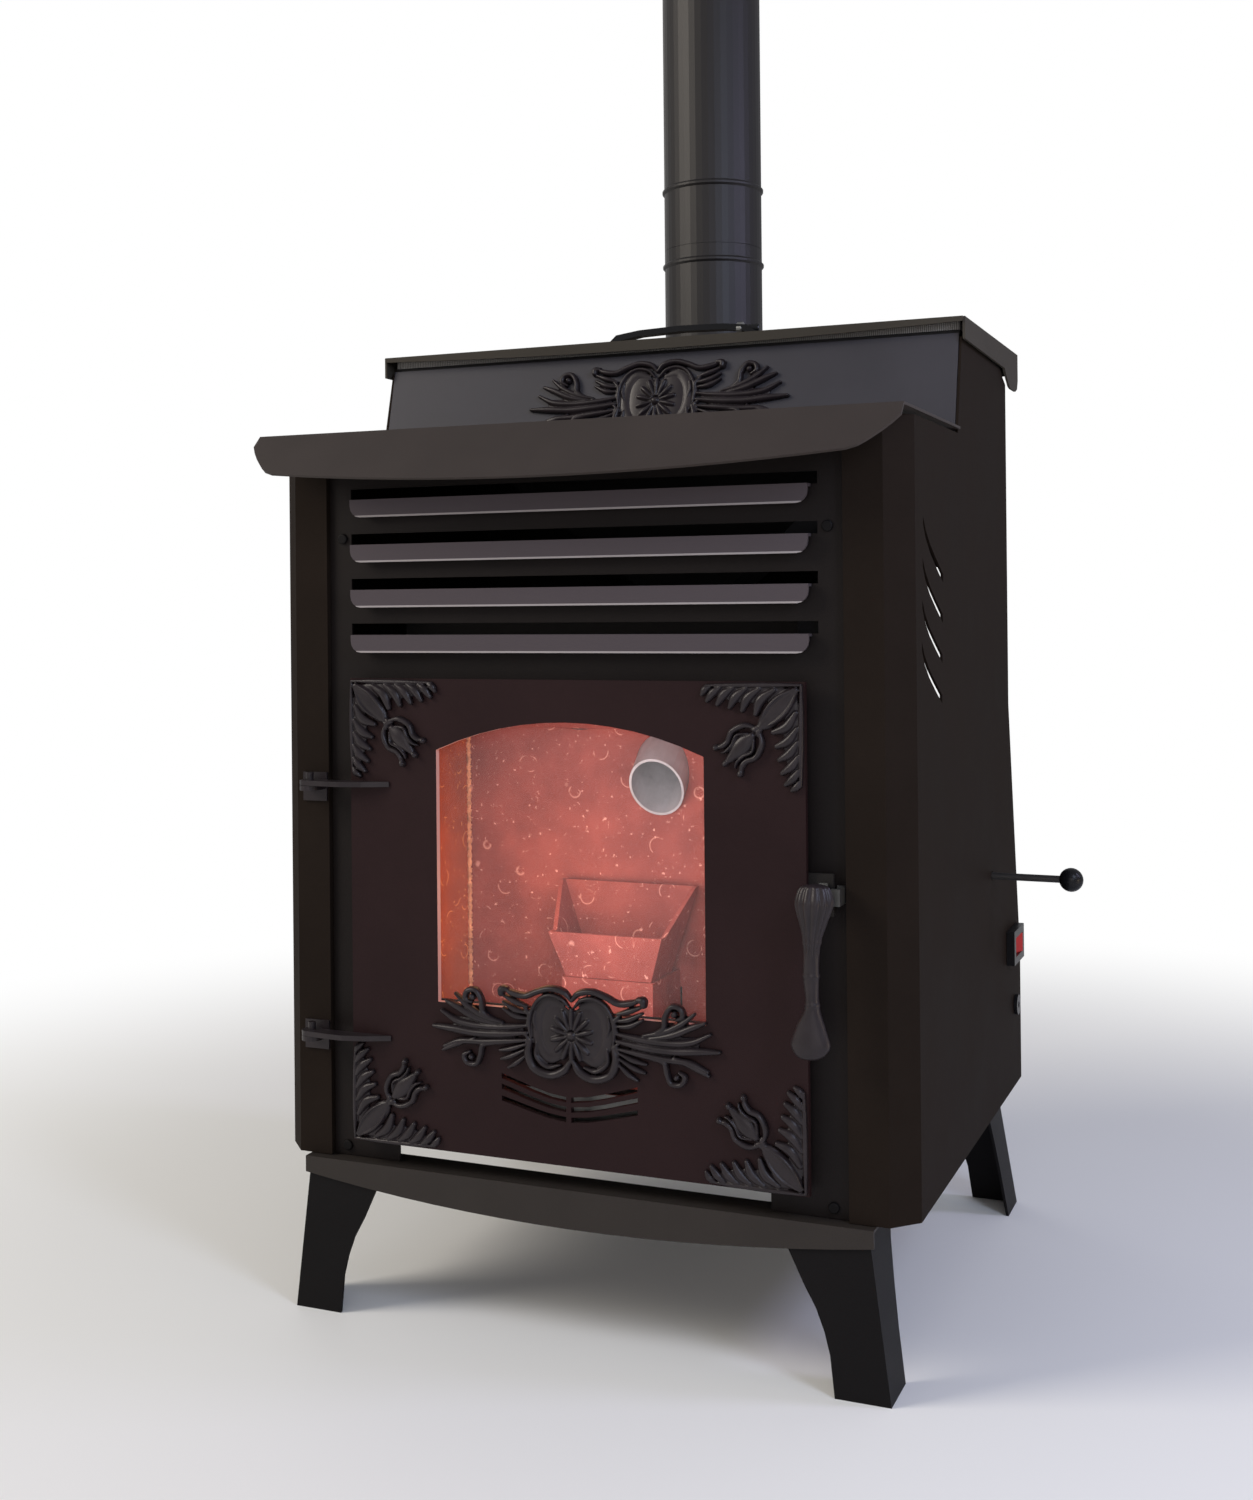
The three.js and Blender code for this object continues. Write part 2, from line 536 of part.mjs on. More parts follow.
mouthCut.translate(CHUTE.x, CHUTE.mouthY, CHUTE.mouthZ);
const RUN_PAST = 30;
place('pellet_chute', cut(chuteBody(CHUTE.radius, RUN_PAST, CHUTE.top),
  chuteBody(CHUTE.radius - CHUTE.wall, RUN_PAST + 1, CHUTE.top + 1),
  toSolid(mouthCut)), bareSteel());

// ---- firebox, baffle, burn pot and its air box, ash pan
const boxOutline = (by) => [
  [BOX_FRONT - (by ? 1 : 0), BOX_LOW + by], [BOX_REAR - by, BOX_LOW + by],
  [BOX_REAR - by, BOX_TOP - by], [BOX_NECK + by, BOX_TOP - by],
  [BOX_NECK + by, BOX_MOUTH_TOP - by], [BOX_FRONT - (by ? 1 : 0), BOX_MOUTH_TOP - by],
];
const boxBack = BOX_REAR - BOX_WALL;
const ASH_HOLE = { half: BOX_HALF - 36, front: 6, rear: 52 };
place('firebox_shell', cut(
  prism('x', boxOutline(0), -BOX_HALF, BOX_HALF),
  prism('x', boxOutline(BOX_WALL), -BOX_HALF + BOX_WALL, BOX_HALF - BOX_WALL),
  bar('y', FLUE_R - FLUE_WALL, boxBack - 1, BOX_REAR + 1, FLUE_X, FLUE_Z, 48),
  chuteRun(CHUTE.radius + GAP, RUN_PAST),
  block(DUCT.left + DUCT.wall, DUCT.right - DUCT.wall, boxBack - 1, BOX_REAR + 1,
    DUCT.lowZ + DUCT.wall, DUCT.lowTop - DUCT.wall),
  block(-ASH_HOLE.half, ASH_HOLE.half, ASH_HOLE.front, ASH_HOLE.rear,
    BOX_LOW - 1, BOX_LOW + BOX_WALL + 1),
), sooty());

const BAFFLE_HALF = BOX_HALF - BOX_WALL - GAP;
const BAFFLE = { front: 60, frontLow: 486, rearLow: 458, thick: 3 };
place('baffle_plate', prism('x', [
  [BAFFLE.front, BAFFLE.frontLow], [boxBack - GAP, BAFFLE.rearLow],
  [boxBack - GAP, BAFFLE.rearLow + BAFFLE.thick], [BAFFLE.front, BAFFLE.frontLow + BAFFLE.thick],
], -BAFFLE_HALF, BAFFLE_HALF), sooty());

// The burn pot flares upward, and its rim climbs toward the back.
function potBody(by, low, high) {
  return frustum(
    [POT.footLeft + by, POT.footRight - by, POT.footFront + by, POT.footRear - by], low,
    [POT.rimLeft + by, POT.rimRight - by, POT.rimFront + by, POT.rimRear - by], high,
  );
}
const potFull = cut(potBody(0, POT.low, POT.rearHigh),
  potBody(POT.wall, POT.low + POT.wall, POT.rearHigh + 0.5));
const RIM_FRONT_FLAT = 14;       // level part of the rim at the front
const RIM_REAR_FLAT = 8;         // and at the back
const potRim = prism('x', [
  [POT.rimFront - PAST, POT.low - PAST], [POT.rimRear + PAST, POT.low - PAST],
  [POT.rimRear + PAST, POT.rearHigh], [POT.rimRear - RIM_REAR_FLAT, POT.rearHigh],
  [POT.rimFront + RIM_FRONT_FLAT, POT.frontHigh], [POT.rimFront - PAST, POT.frontHigh],
], POT.rimLeft - PAST, POT.rimRight + PAST);
const POT_HOLES = { columns: 4, rows: 3, across: 16, along: 11, radius: 2.5 };
const potHoles = [];
for (let column = 0; column < POT_HOLES.columns; column += 1) {
  for (let row = 0; row < POT_HOLES.rows; row += 1) {
    potHoles.push(bar('z', POT_HOLES.radius, POT.low - 1, POT.low + POT.wall + 1,
      (POT.footLeft + POT.footRight) / 2 + (column - (POT_HOLES.columns - 1) / 2) * POT_HOLES.across,
      (POT.footFront + POT.footRear) / 2 + (row - (POT_HOLES.rows - 1) / 2) * POT_HOLES.along, 8));
  }
}
place('burn_pot', cut(potFull.intersect(potRim), ...potHoles), castIron());
place('pot_holder', cut(
  block(HOLDER.left, HOLDER.right, HOLDER.front, HOLDER.rear, HOLDER.low, HOLDER.high),
  block(HOLDER.left + HOLDER.wall, HOLDER.right - HOLDER.wall, HOLDER.front + HOLDER.wall,
    HOLDER.rear + 1, HOLDER.low - 1, HOLDER.high + 1),
), sooty());

const PAN = { half: BOX_HALF - 26, front: -8, rear: 118, high: 192, wall: 1.5 };
const panLow = FLOOR_Z + SHEET + GAP;
place('ash_pan', cut(
  block(-PAN.half, PAN.half, PAN.front, PAN.rear, panLow, PAN.high),
  block(-PAN.half + PAN.wall, PAN.half - PAN.wall, PAN.front + PAN.wall, PAN.rear - PAN.wall,
    panLow + PAN.wall, PAN.high + 1),
), bareSteel());

// ---- combustion-air duct with its slide
function ductOutline(by) {
  const past = by ? 1 : 0;
  return [
    [DUCT.rear + past, DUCT.highTop - by], [DUCT.rear + past, DUCT.highZ + by],
    [DUCT.shaftRear - by, DUCT.highZ + by], [DUCT.shaftRear - by, DUCT.lowZ + by],
    [DUCT.front - past, DUCT.lowZ + by], [DUCT.front - past, DUCT.lowTop - by],
    [DUCT.shaftFront + by, DUCT.lowTop - by], [DUCT.shaftFront + by, DUCT.highTop - by],
  ];
}
const BLADE_LOW = DUCT.highZ + DUCT.wall + 1;
const BLADE_HIGH = DUCT.highTop - DUCT.wall - 1;
place('air_duct', cut(
  prism('x', ductOutline(0), DUCT.left, DUCT.right),
  prism('x', ductOutline(DUCT.wall), DUCT.left + DUCT.wall, DUCT.right - DUCT.wall),
  block(DUCT.right - DUCT.wall - 1, DUCT.right + 1, ROD_Y - 1.3, ROD_Y + 1.3,
    BLADE_LOW - GAP, BLADE_HIGH + GAP),
), bareSteel());
place('slide_blade', block(BLADE_FROM, BLADE_TO, ROD_Y - 1, ROD_Y + 1, BLADE_LOW, BLADE_HIGH),
  bareSteel());
place('slide_rod', bar('x', ROD_R, BLADE_TO + GAP, BALL_X - BALL_R + 3, ROD_Y, ROD_Z),
  bareSteel());
const ball = new THREE.SphereGeometry(BALL_R, 28, 18);
ball.translate(BALL_X, ROD_Y, ROD_Z);
place('ball_knob', cut(toSolid(ball),
  bar('x', ROD_R + GAP, BALL_X - BALL_R - 1, BALL_X - BALL_R + 3 + GAP, ROD_Y, ROD_Z)),
finish(0x141414, 0.25, 0));

// ---- door: plate with arched window and three curved slots each side
const SLOT_ROWS = [
  [[2, 191], [16, 192.7], [30, 196.2], [56, 204]],
  [[2, 183.6], [16, 185.3], [30, 188.6], [56, 196]],
  [[2, 176], [16, 177.5], [30, 180.6], [56, 187]],
];
const SLOT_HALF = 2;
function doorSlot(points, sign) {
  const upper = points.map(([x, z]) => [sign * x, z + SLOT_HALF]);
  const lower = points.map(([x, z]) => [sign * x, z - SLOT_HALF]);
  return prism('y', [...upper, ...lower.reverse()], DOOR_FRONT - 1, DOOR_REAR + 1);
}
const doorPlate = prism('y', [
  [-DOOR_HALF, DOOR_LOW], [DOOR_HALF, DOOR_LOW], [DOOR_HALF, DOOR_HIGH], [-DOOR_HALF, DOOR_HIGH],
], DOOR_FRONT, DOOR_REAR);
place('door_panel', cut(doorPlate,
  prism('y', arched(WINDOW_HALF, WINDOW_LOW, WINDOW_CORNER, WINDOW_APEX),
    DOOR_FRONT - 1, DOOR_REAR + 1),
  ...SLOT_ROWS.flatMap((row) => [doorSlot(row, 1), doorSlot(row, -1)])), casing());

const GLASS = { half: WINDOW_HALF + 14.7, low: 249, high: 481, thick: 4 };
const glassFront = DOOR_REAR + GAP;
const glassRear = glassFront + GLASS.thick;
place('door_glass', block(-GLASS.half, GLASS.half, glassFront, glassRear, GLASS.low, GLASS.high),
  new THREE.MeshStandardMaterial({
    color: 0xb8a8a0, roughness: 0.05, metalness: 0, transparent: true, opacity: 0.35,
  }));
const RETAINER = {
  half: GLASS.half + 9, low: 241, high: 489, rear: -16,
  holeHalf: WINDOW_HALF + 7.7, holeLow: 256, holeHigh: 477,
};
place('glass_frame', cut(
  block(-RETAINER.half, RETAINER.half, glassFront, RETAINER.rear, RETAINER.low, RETAINER.high),
  block(-RETAINER.holeHalf, RETAINER.holeHalf, glassFront - 1, RETAINER.rear + 1,
    RETAINER.holeLow, RETAINER.holeHigh),
  block(-GLASS.half - GAP, GLASS.half + GAP, glassFront - 1, glassRear + GAP,
    GLASS.low - GAP, GLASS.high + GAP),
), darkCasing());
const SEAL = { half: DOORWAY_HALF + 15, low: DOORWAY_LOW - 12, high: DOORWAY_HIGH + 13,
  innerHalf: DOORWAY_HALF + 6, innerLow: DOORWAY_LOW - 6, innerHigh: DOORWAY_HIGH + 6 };
const sealRear = FRAME_FRONT - GAP;
place('door_seal', cut(
  block(-SEAL.half, SEAL.half, glassFront, sealRear, SEAL.low, SEAL.high),
  block(-SEAL.innerHalf, SEAL.innerHalf, glassFront - 1, sealRear + 1,
    SEAL.innerLow, SEAL.innerHigh),
), finish(0x8f8a82, 0.95, 0));

// ---- door hinges: an arm on the door turns on a pin that stands on the post
const EYE_R = 8;
const PIN_FIT = 0.05;            // running clearance round a pin
const PIN_HOLE = PIN_R + PIN_FIT;
const armRear = DOOR_FRONT - GAP;
const ARM_TIP = -DOOR_HALF + 35;
const ARM_PLAN = [[PIVOT_X, PIVOT_Y - EYE_R], [PIVOT_X + 17, -41.4], [PIVOT_X + 33, -42],
  [ARM_TIP - 20, -38], [ARM_TIP - 6, -32], [ARM_TIP, -29.4], [ARM_TIP, armRear],
  [PIVOT_X + 6, armRear]];
const LUG = 4;
const lugPlan = [[PIVOT_X - EYE_R, POST_FRONT - 1], [PIVOT_X - EYE_R, PIVOT_Y],
  [PIVOT_X + EYE_R, PIVOT_Y], [PIVOT_X + EYE_R, POST_FRONT - 1]];
['lower', 'upper'].forEach((level, i) => {
  const [low, high] = HINGE_LEVELS[1 - i];
  place(`hinge_arm_${level}`, cut(
    join(prism('z', ARM_PLAN, low, high), bar('z', EYE_R, low, high, PIVOT_X, PIVOT_Y)),
    bar('z', PIN_HOLE, low - 1, high + 1, PIVOT_X, PIVOT_Y),
  ), castIron());
  const lugTop = low - GAP;
  place(`hinge_bracket_${level}`, join(
    block(PIVOT_X - 13, PIVOT_X + 9, POST_FRONT - GAP - SHEET, POST_FRONT - GAP,
      low - 14, high + 5),
    prism('z', lugPlan.map(([x, y]) => [x, Math.min(y, POST_FRONT - GAP)]), lugTop - LUG, lugTop),
    bar('z', EYE_R, lugTop - LUG, lugTop, PIVOT_X, PIVOT_Y),
    bar('z', PIN_R, lugTop - LUG / 2, high + 6, PIVOT_X, PIVOT_Y),
  ), castIron());
});

// ---- latch: cast handle, spindle, cam and keeper
// Rings of a swept body: [z, left and right of the spindle's axis, front y, rear y].
const HANDLE_RINGS = [
  [366, -6, 6, -54, -42], [363, -12, 12, -57, -41], [354, -14, 14, -60, -40],
  [338, -10.3, 8.5, -58, -42], [324, -8, 4, -56, -44], [303, -8.5, 3, -55, -45],
  [283, -7, 3, -55, -45], [268, -13.5, 7, -56, -44], [256, -17.5, 10.7, -57, -44],
  [248, -15, 7, -56, -45], [245, -11, 2, -54, -47],
].map(([z, left, right, front, rear]) => [z, LATCH_X + left, LATCH_X + right, front, rear]);
function lofted(rings, sides) {
  const points = [];
  const faces = [];
  rings.forEach(([z, x0, x1, y0, y1]) => {
    for (let i = 0; i < sides; i += 1) {
      const angle = (i / sides) * 2 * Math.PI;
      points.push((x0 + x1) / 2 + ((x1 - x0) / 2) * Math.cos(angle),
        (y0 + y1) / 2 + ((y1 - y0) / 2) * Math.sin(angle), z);
    }
  });
  for (let ring = 0; ring < rings.length - 1; ring += 1) {
    for (let i = 0; i < sides; i += 1) {
      const next = (i + 1) % sides;
      const a = ring * sides + i;
      const b = ring * sides + next;
      faces.push(a, b, b + sides, a, b + sides, a + sides);
    }
  }
  const last = (rings.length - 1) * sides;
  for (let i = 1; i < sides - 1; i += 1) {
    faces.push(0, i + 1, i);
    faces.push(last, last + i, last + i + 1);
  }
  const geometry = new THREE.BufferGeometry();
  geometry.setAttribute('position', new THREE.BufferAttribute(new Float32Array(points), 3));
  geometry.setIndex(faces);
  return outward(geometry);
}
const SPINDLE_FRONT = -47;
const SPINDLE_BACK = -18.5;
place('door_handle', cut(lofted(HANDLE_RINGS, 20),
  bar('y', SPINDLE_R + GAP, SPINDLE_FRONT - GAP, -30, LATCH_X, LATCH_Z)), castIron());
place('latch_spindle', bar('y', SPINDLE_R, SPINDLE_FRONT, SPINDLE_BACK, LATCH_X, LATCH_Z),
  bareSteel());
const LATCH_PLATE = { left: DOOR_HALF - 17, right: DOOR_HALF + 18.3, low: 340, high: 370, thick: 3 };
place('latch_plate', cut(
  block(LATCH_PLATE.left, LATCH_PLATE.right, glassFront, glassFront + LATCH_PLATE.thick,
    LATCH_PLATE.low, LATCH_PLATE.high),
  bar('y', SPINDLE_R + PIN_FIT, glassFront - 1, glassFront + LATCH_PLATE.thick + 1,
    LATCH_X, LATCH_Z, 48),
), darkCasing());
const CAM = { radius: 6.5, nose: 9.4, noseHalf: 3, front: -27, rear: -24 };
place('latch_cam', cut(
  join(bar('y', CAM.radius, CAM.front, CAM.rear, LATCH_X, LATCH_Z),
    block(LATCH_X - CAM.noseHalf, LATCH_X + CAM.noseHalf, CAM.front, CAM.rear,
      LATCH_Z, LATCH_Z + CAM.nose)),
  bar('y', SPINDLE_R + GAP, CAM.front - 1, CAM.rear + 1, LATCH_X, LATCH_Z),
), bareSteel());
// The keeper is a channel of sheet that the cam's nose turns into.
const KEEPER = { low: 349, high: 361, deep: 6.6, sheet: 3, front: -33, outer: FRAME_HALF - 0.4 };
const keeperRear = FRAME_FRONT - GAP;
const keeperLip = KEEPER.outer - KEEPER.deep;
place('door_keeper', join(
  block(keeperLip, KEEPER.outer, keeperRear - SHEET, keeperRear, KEEPER.low, KEEPER.high),
  block(KEEPER.outer - KEEPER.sheet, KEEPER.outer, KEEPER.front, keeperRear,
    KEEPER.low, KEEPER.high),
  block(keeperLip, KEEPER.outer, KEEPER.front, KEEPER.front + KEEPER.sheet,
    KEEPER.low, KEEPER.high),
), bareSteel());

// ---- cast ornaments: half outlines from the middle, top first
const SCROLL_HALF = [[0, 24.7], [6.6, 30.7], [18.2, 33.4], [29.9, 29.3], [38.2, 25.5],
  [48.4, 26], [57.8, 30.4], [61.1, 24], [57, 16.2], [68.7, 13.5], [77.3, 14.5], [75.7, 21.1],
  [82.6, 28.1], [91.3, 25.8], [99.9, 21.1], [110.4, 16.3], [113.8, 6.6], [119.5, -3.2],
  [115.4, -7.4], [110.1, -10], [112.6, -19.5], [108.2, -23.7], [96, -21.6], [91.5, -28.8],
  [82.8, -31.7], [75.1, -26.2], [75.2, -17.1], [61.5, -17.9], [59.7, -26.1], [52.8, -31.4],
  [39.3, -27.6], [30.9, -32.7], [15, -35.4], [4.3, -29], [0, -22.5]];
const ORNAMENT_THICK = 6;
const SCROLL_X = 4;
const SCROLL_Z = 242;
function scroll(from, to) {
  const left = SCROLL_HALF.slice(1, -1).map(([x, z]) => [-x, z]).reverse();
  return prism('y', [...SCROLL_HALF, ...left], from, to);
}
const ornamentRear = DOOR_FRONT - GAP;
place('door_ornament', moved(scroll(ornamentRear - ORNAMENT_THICK, ornamentRear),
  SCROLL_X, 0, SCROLL_Z), castIron());
const HOPPER_SCROLL_X = 2;
const HOPPER_SCROLL_Z = 737;
const hopperScroll = toGeometry(scroll(-ORNAMENT_THICK - GAP, -GAP));
hopperScroll.rotateX(-Math.atan(lean));
hopperScroll.translate(HOPPER_SCROLL_X, hopperY(HOPPER_SCROLL_Z), HOPPER_SCROLL_Z);
place('hopper_ornament', toSolid(hopperScroll), castIron());

const CORNER_HALF = [[0.6, 0.6], [76, 1], [79, 8], [74, 16], [64, 20], [54, 21], [45, 23],
  [35, 26], [32, 30], [37, 32], [46, 30.5], [55, 35], [57, 42], [60, 45], [67, 46], [67, 51],
  [60, 53], [59, 59]];
const cornerOutline = [...CORNER_HALF,
  ...CORNER_HALF.slice(1, -1).map(([a, b]) => [b, a]).reverse()];
for (const [side, sx] of [['left', -1], ['right', 1]]) {
  for (const [level, sz] of [['lower', 1], ['upper', -1]]) {
    const outline = cornerOutline.map(([a, b]) => [
      sx * (DOOR_HALF - a), sz > 0 ? DOOR_LOW + b : DOOR_HIGH - b,
    ]);
    place(`corner_ornament_${level}_${side}`,
      prism('y', outline, ornamentRear - ORNAMENT_THICK, ornamentRear), castIron());
  }
}

// ---- hopper lid with its handle, turning on two pins behind the hopper
const LID_SKIRT = [[LID.front, LID.top], [LID.front, LID.low + 1], [LID_PIVOT_Y - 44, LID.low - 1],
  [LID_PIVOT_Y - 33, LID.low - 8], [LID_PIVOT_Y - 20, LID.low - 15], [LID_PIVOT_Y - 12, LID.earLow],
  [LID_PIVOT_Y + 10, LID.earLow], [LID_PIVOT_Y + 18, LID.low - 13], [LID.rear, LID.low - 5],
  [LID.rear, LID.top]];
const lidUnder = LID.top - SHEET;
const lipHalf = LID.half - 1.5;
const LIP = { ends: LID.top - 4, bulge: 5 };
const lipFoot = bow([lipHalf, LIP.ends], [-lipHalf, LIP.ends], LIP.bulge, 12);
const skirtRight = prism('x', LID_SKIRT, LID.half - SHEET, LID.half);
const LID_LUG = { inner: 187, outer: 190, halfY: 10, under: 8 };
const lugRight = block(LID_LUG.inner, LID_LUG.outer,
  LID_PIVOT_Y - LID_LUG.halfY, LID_PIVOT_Y + LID_LUG.halfY,
  LID_PIVOT_Z - LID_LUG.under, lidUnder + 1);
place('lid', cut(join(
  block(-LID.half, LID.half, LID.front, LID.rear, lidUnder, LID.top),
  skirtRight,
  mirrored(skirtRight),
  block(-LID.half, LID.half, LID.rear - SHEET, LID.rear, LID.low, LID.top),
  prism('y', [[-lipHalf, LID.top], [lipHalf, LID.top], ...lipFoot], LID.front - SHEET, LID.front),
  lugRight,
  mirrored(lugRight),
), bar('x', PIN_HOLE, -LID_LUG.outer - 1, LID_LUG.outer + 1, LID_PIVOT_Y, LID_PIVOT_Z)), casing());

const cheekRear = REAR_UPPER + GAP;
const CHEEK_LOW = SIDE_REAR_TOP - 22;
const CHEEK = [[cheekRear, CHEEK_LOW], [cheekRear + 4, CHEEK_LOW],
  [LID_PIVOT_Y - 2, LID_PIVOT_Z - 12], [LID_PIVOT_Y + 8, LID_PIVOT_Z - 6],
  [LID_PIVOT_Y + 9, LID_PIVOT_Z + 2], [LID_PIVOT_Y + 4, LID_PIVOT_Z + 7],
  [LID_PIVOT_Y - 4, LID_PIVOT_Z + 7], [cheekRear, SIDE_REAR_TOP]];
const cheekInner = LID_LUG.outer + 6;
const cheekOuter = cheekInner + 3;
const lidHinge = join(
  prism('x', CHEEK, cheekInner, cheekOuter),
  block(LID_LUG.outer, cheekOuter + 13, cheekRear, cheekRear + SHEET, CHEEK_LOW, SIDE_REAR_TOP - 1),
  bar('x', PIN_R, LID_LUG.inner - 3, cheekInner + 1, LID_PIVOT_Y, LID_PIVOT_Z),
);
place('lid_hinge_right', lidHinge, castIron());
place('lid_hinge_left', mirrored(lidHinge), castIron());

// The lid's handle, as (x, height over the lid) pairs round its outline.
const LID_HANDLE = [[-72, 0], [-70, 8.7], [-62, 15.7], [-40, 18.7], [0, 20.2], [40, 19.2],
  [62, 16.7], [71, 9.7], [73, 0], [66, 0], [65, 7.7], [58, 11.7], [40, 14.2], [0, 15.2],
  [-40, 13.7], [-58, 10.7], [-65, 5.7], [-66, 0]];
const GRIP = { front: LID.front + 62, deep: 12 };
place('lid_handle', prism('y', LID_HANDLE.map(([x, up]) => [x, LID.top + GAP + up]),
  GRIP.front, GRIP.front + GRIP.deep), finish(0x161616, 0.45, 0.2));

// ---- flue: duct, tee with clean-out cap and two lengths of pipe
const fluePipe = (radius, from, to) => bar('y', radius, from, to, FLUE_X, FLUE_Z, 48);
const BRANCH = 421;
place('flue_duct', cut(fluePipe(FLUE_R, BOX_REAR + GAP, BRANCH),
  fluePipe(FLUE_R - FLUE_WALL, BOX_REAR - 1, BRANCH + 1)), bareSteel());
place('flue_tee', cut(
  join(bar('z', FLUE_R, TEE_LOW, TEE_HIGH, FLUE_X, STACK_Y, 48),
    fluePipe(FLUE_R, BRANCH + GAP, STACK_Y)),
  bar('z', FLUE_R - FLUE_WALL, TEE_LOW - 1, TEE_HIGH + 1, FLUE_X, STACK_Y, 48),
  fluePipe(FLUE_R - FLUE_WALL, BRANCH - 1, STACK_Y),
), finish(0x302f31, 0.5, 0.4));
const spigotR = FLUE_R - FLUE_WALL - GAP;
const capTop = TEE_LOW - GAP;
place('tee_cap', turned([
  [0, capTop - 5], [FLUE_R, capTop - 5], [FLUE_R, capTop], [spigotR, capTop],
  [spigotR, capTop + 15], [spigotR - 2, capTop + 15], [spigotR - 2, capTop - 3],
  [0, capTop - 3],
], FLUE_X, STACK_Y, 40), finish(0x302f31, 0.5, 0.4));
function pipe(low, high, beadZ) {
  const spigotLow = low - 18;
  return turned([
    [spigotR, spigotLow], [spigotR, low], [FLUE_R, low], [FLUE_R, beadZ - 3],
    [BEAD_R, beadZ - 1], [BEAD_R, beadZ + 1], [FLUE_R, beadZ + 3], [FLUE_R, high],
    [FLUE_R - FLUE_WALL, high], [FLUE_R - FLUE_WALL, low + 2], [spigotR - 2, low],
    [spigotR - 2, spigotLow], [spigotR, spigotLow],
  ], FLUE_X, STACK_Y, 48);
}
place('flue_pipe_lower', pipe(TEE_HIGH + GAP, STACK_JOINT - GAP, LOWER_BEAD),
  finish(0x302f31, 0.45, 0.4));
place('flue_pipe_upper', pipe(STACK_JOINT, STACK_TOP, UPPER_BEAD), finish(0x302f31, 0.45, 0.4));

// ---- fan that blows room air round the firebox
const FAN = { half: 150, front: 300, rear: 398, high: 230, wall: 1.5, y: 350, z: 192 };
const fanLow = FLOOR_Z + SHEET + GAP;
const FAN_SHAFT_R = 4;
const FAN_OUT = { left: -125, right: 105, low: 160, high: 205 };
const FAN_IN = { left: VENT.left, right: VENT.right, low: VENT.low - 4, high: 218 };
const fanInner = FAN.half - FAN.wall;
place('blower_housing', cut(
  block(-FAN.half, FAN.half, FAN.front, FAN.rear, fanLow, FAN.high),
  block(-fanInner, fanInner, FAN.front + FAN.wall, FAN.rear - FAN.wall,
    fanLow + FAN.wall, FAN.high - FAN.wall),
  block(FAN_OUT.left, FAN_OUT.right, FAN.front - 1, FAN.front + FAN.wall + 1,
    FAN_OUT.low, FAN_OUT.high),
  block(FAN_IN.left, FAN_IN.right, FAN.rear - FAN.wall - 1, FAN.rear + 1,
    FAN_IN.low, FAN_IN.high),
  bar('x', FAN_SHAFT_R + PIN_FIT, -FAN.half - 1, -fanInner + 1, FAN.y, FAN.z, 48),
), bareSteel());
const ROTOR = { from: -118, to: 98, radius: 28, depth: 8, blades: 10 };
const MOTOR = { radius: 26, from: ROTOR.to + 6, bore: 9 };
const shaftEnd = MOTOR.from + MOTOR.bore - 1;
const rotorParts = [bar('x', FAN_SHAFT_R, -FAN.half + GAP, shaftEnd, FAN.y, FAN.z, 48)];
for (const x of [ROTOR.from, (ROTOR.from + ROTOR.to) / 2, ROTOR.to]) {
  rotorParts.push(bar('x', ROTOR.radius, x - 1, x + 1, FAN.y, FAN.z));
}
for (let i = 0; i < ROTOR.blades; i += 1) {
  const blade = new THREE.BoxGeometry(ROTOR.to - ROTOR.from, 1.2, ROTOR.depth);
  blade.translate((ROTOR.from + ROTOR.to) / 2, 0, ROTOR.radius - 1 - ROTOR.depth / 2);
  blade.rotateX((i / ROTOR.blades) * 2 * Math.PI);
  blade.translate(0, FAN.y, FAN.z);
  rotorParts.push(toSolid(blade));
}
place('blower_rotor', join(...rotorParts), bareSteel());
const motorEnd = fanInner - GAP;
place('blower_motor', cut(bar('x', MOTOR.radius, MOTOR.from, motorEnd, FAN.y, FAN.z, 32),
  bar('x', FAN_SHAFT_R + PIN_FIT, MOTOR.from - 1, MOTOR.from + MOTOR.bore, FAN.y, FAN.z, 48)),
darkCasing());

// ---- switch and cable gland in the right side
const panelOut = BODY_HALF + GAP;
const rockerPin = (radius, half) => bar('z', radius, SWITCH_Z - half, SWITCH_Z + half,
  SWITCH.pivotX, SWITCH_Y, 32);
place('switch_bezel', cut(
  join(
    block(panelOut, SWITCH.face, SWITCH_Y - SWITCH.halfY, SWITCH_Y + SWITCH.halfY,
      SWITCH_Z - SWITCH.halfZ, SWITCH_Z + SWITCH.halfZ),
    block(SWITCH.back, SWITCH.face, SWITCH_Y - SWITCH.bodyHalfY, SWITCH_Y + SWITCH.bodyHalfY,
      SWITCH_Z - SWITCH.bodyHalfZ, SWITCH_Z + SWITCH.bodyHalfZ),
  ),
  block(SWITCH.pocketX, SWITCH.face + 1, SWITCH_Y - SWITCH.pocketY, SWITCH_Y + SWITCH.pocketY,
    SWITCH_Z - SWITCH.pocketZ, SWITCH_Z + SWITCH.pocketZ),
  rockerPin(SWITCH.pinR + PIN_FIT, SWITCH.pinHalf + GAP),
), finish(0x121212, 0.4, 0));
const ROCKER = [[-4, -12], [4, -14.5], [2.5, 0], [4, 14.5], [-4, 12]];
const tilt = (-SWITCH.tilt * Math.PI) / 180;
const rockerPlan = ROCKER.map(([x, y]) => [
  SWITCH.pivotX + x * Math.cos(tilt) - y * Math.sin(tilt),
  SWITCH_Y + x * Math.sin(tilt) + y * Math.cos(tilt),
]);
place('switch_rocker', join(
  prism('z', rockerPlan, SWITCH_Z - SWITCH.pocketZ + GAP, SWITCH_Z + SWITCH.pocketZ - GAP),
  rockerPin(SWITCH.pinR, SWITCH.pinHalf),
), finish(0xa01414, 0.35, 0));
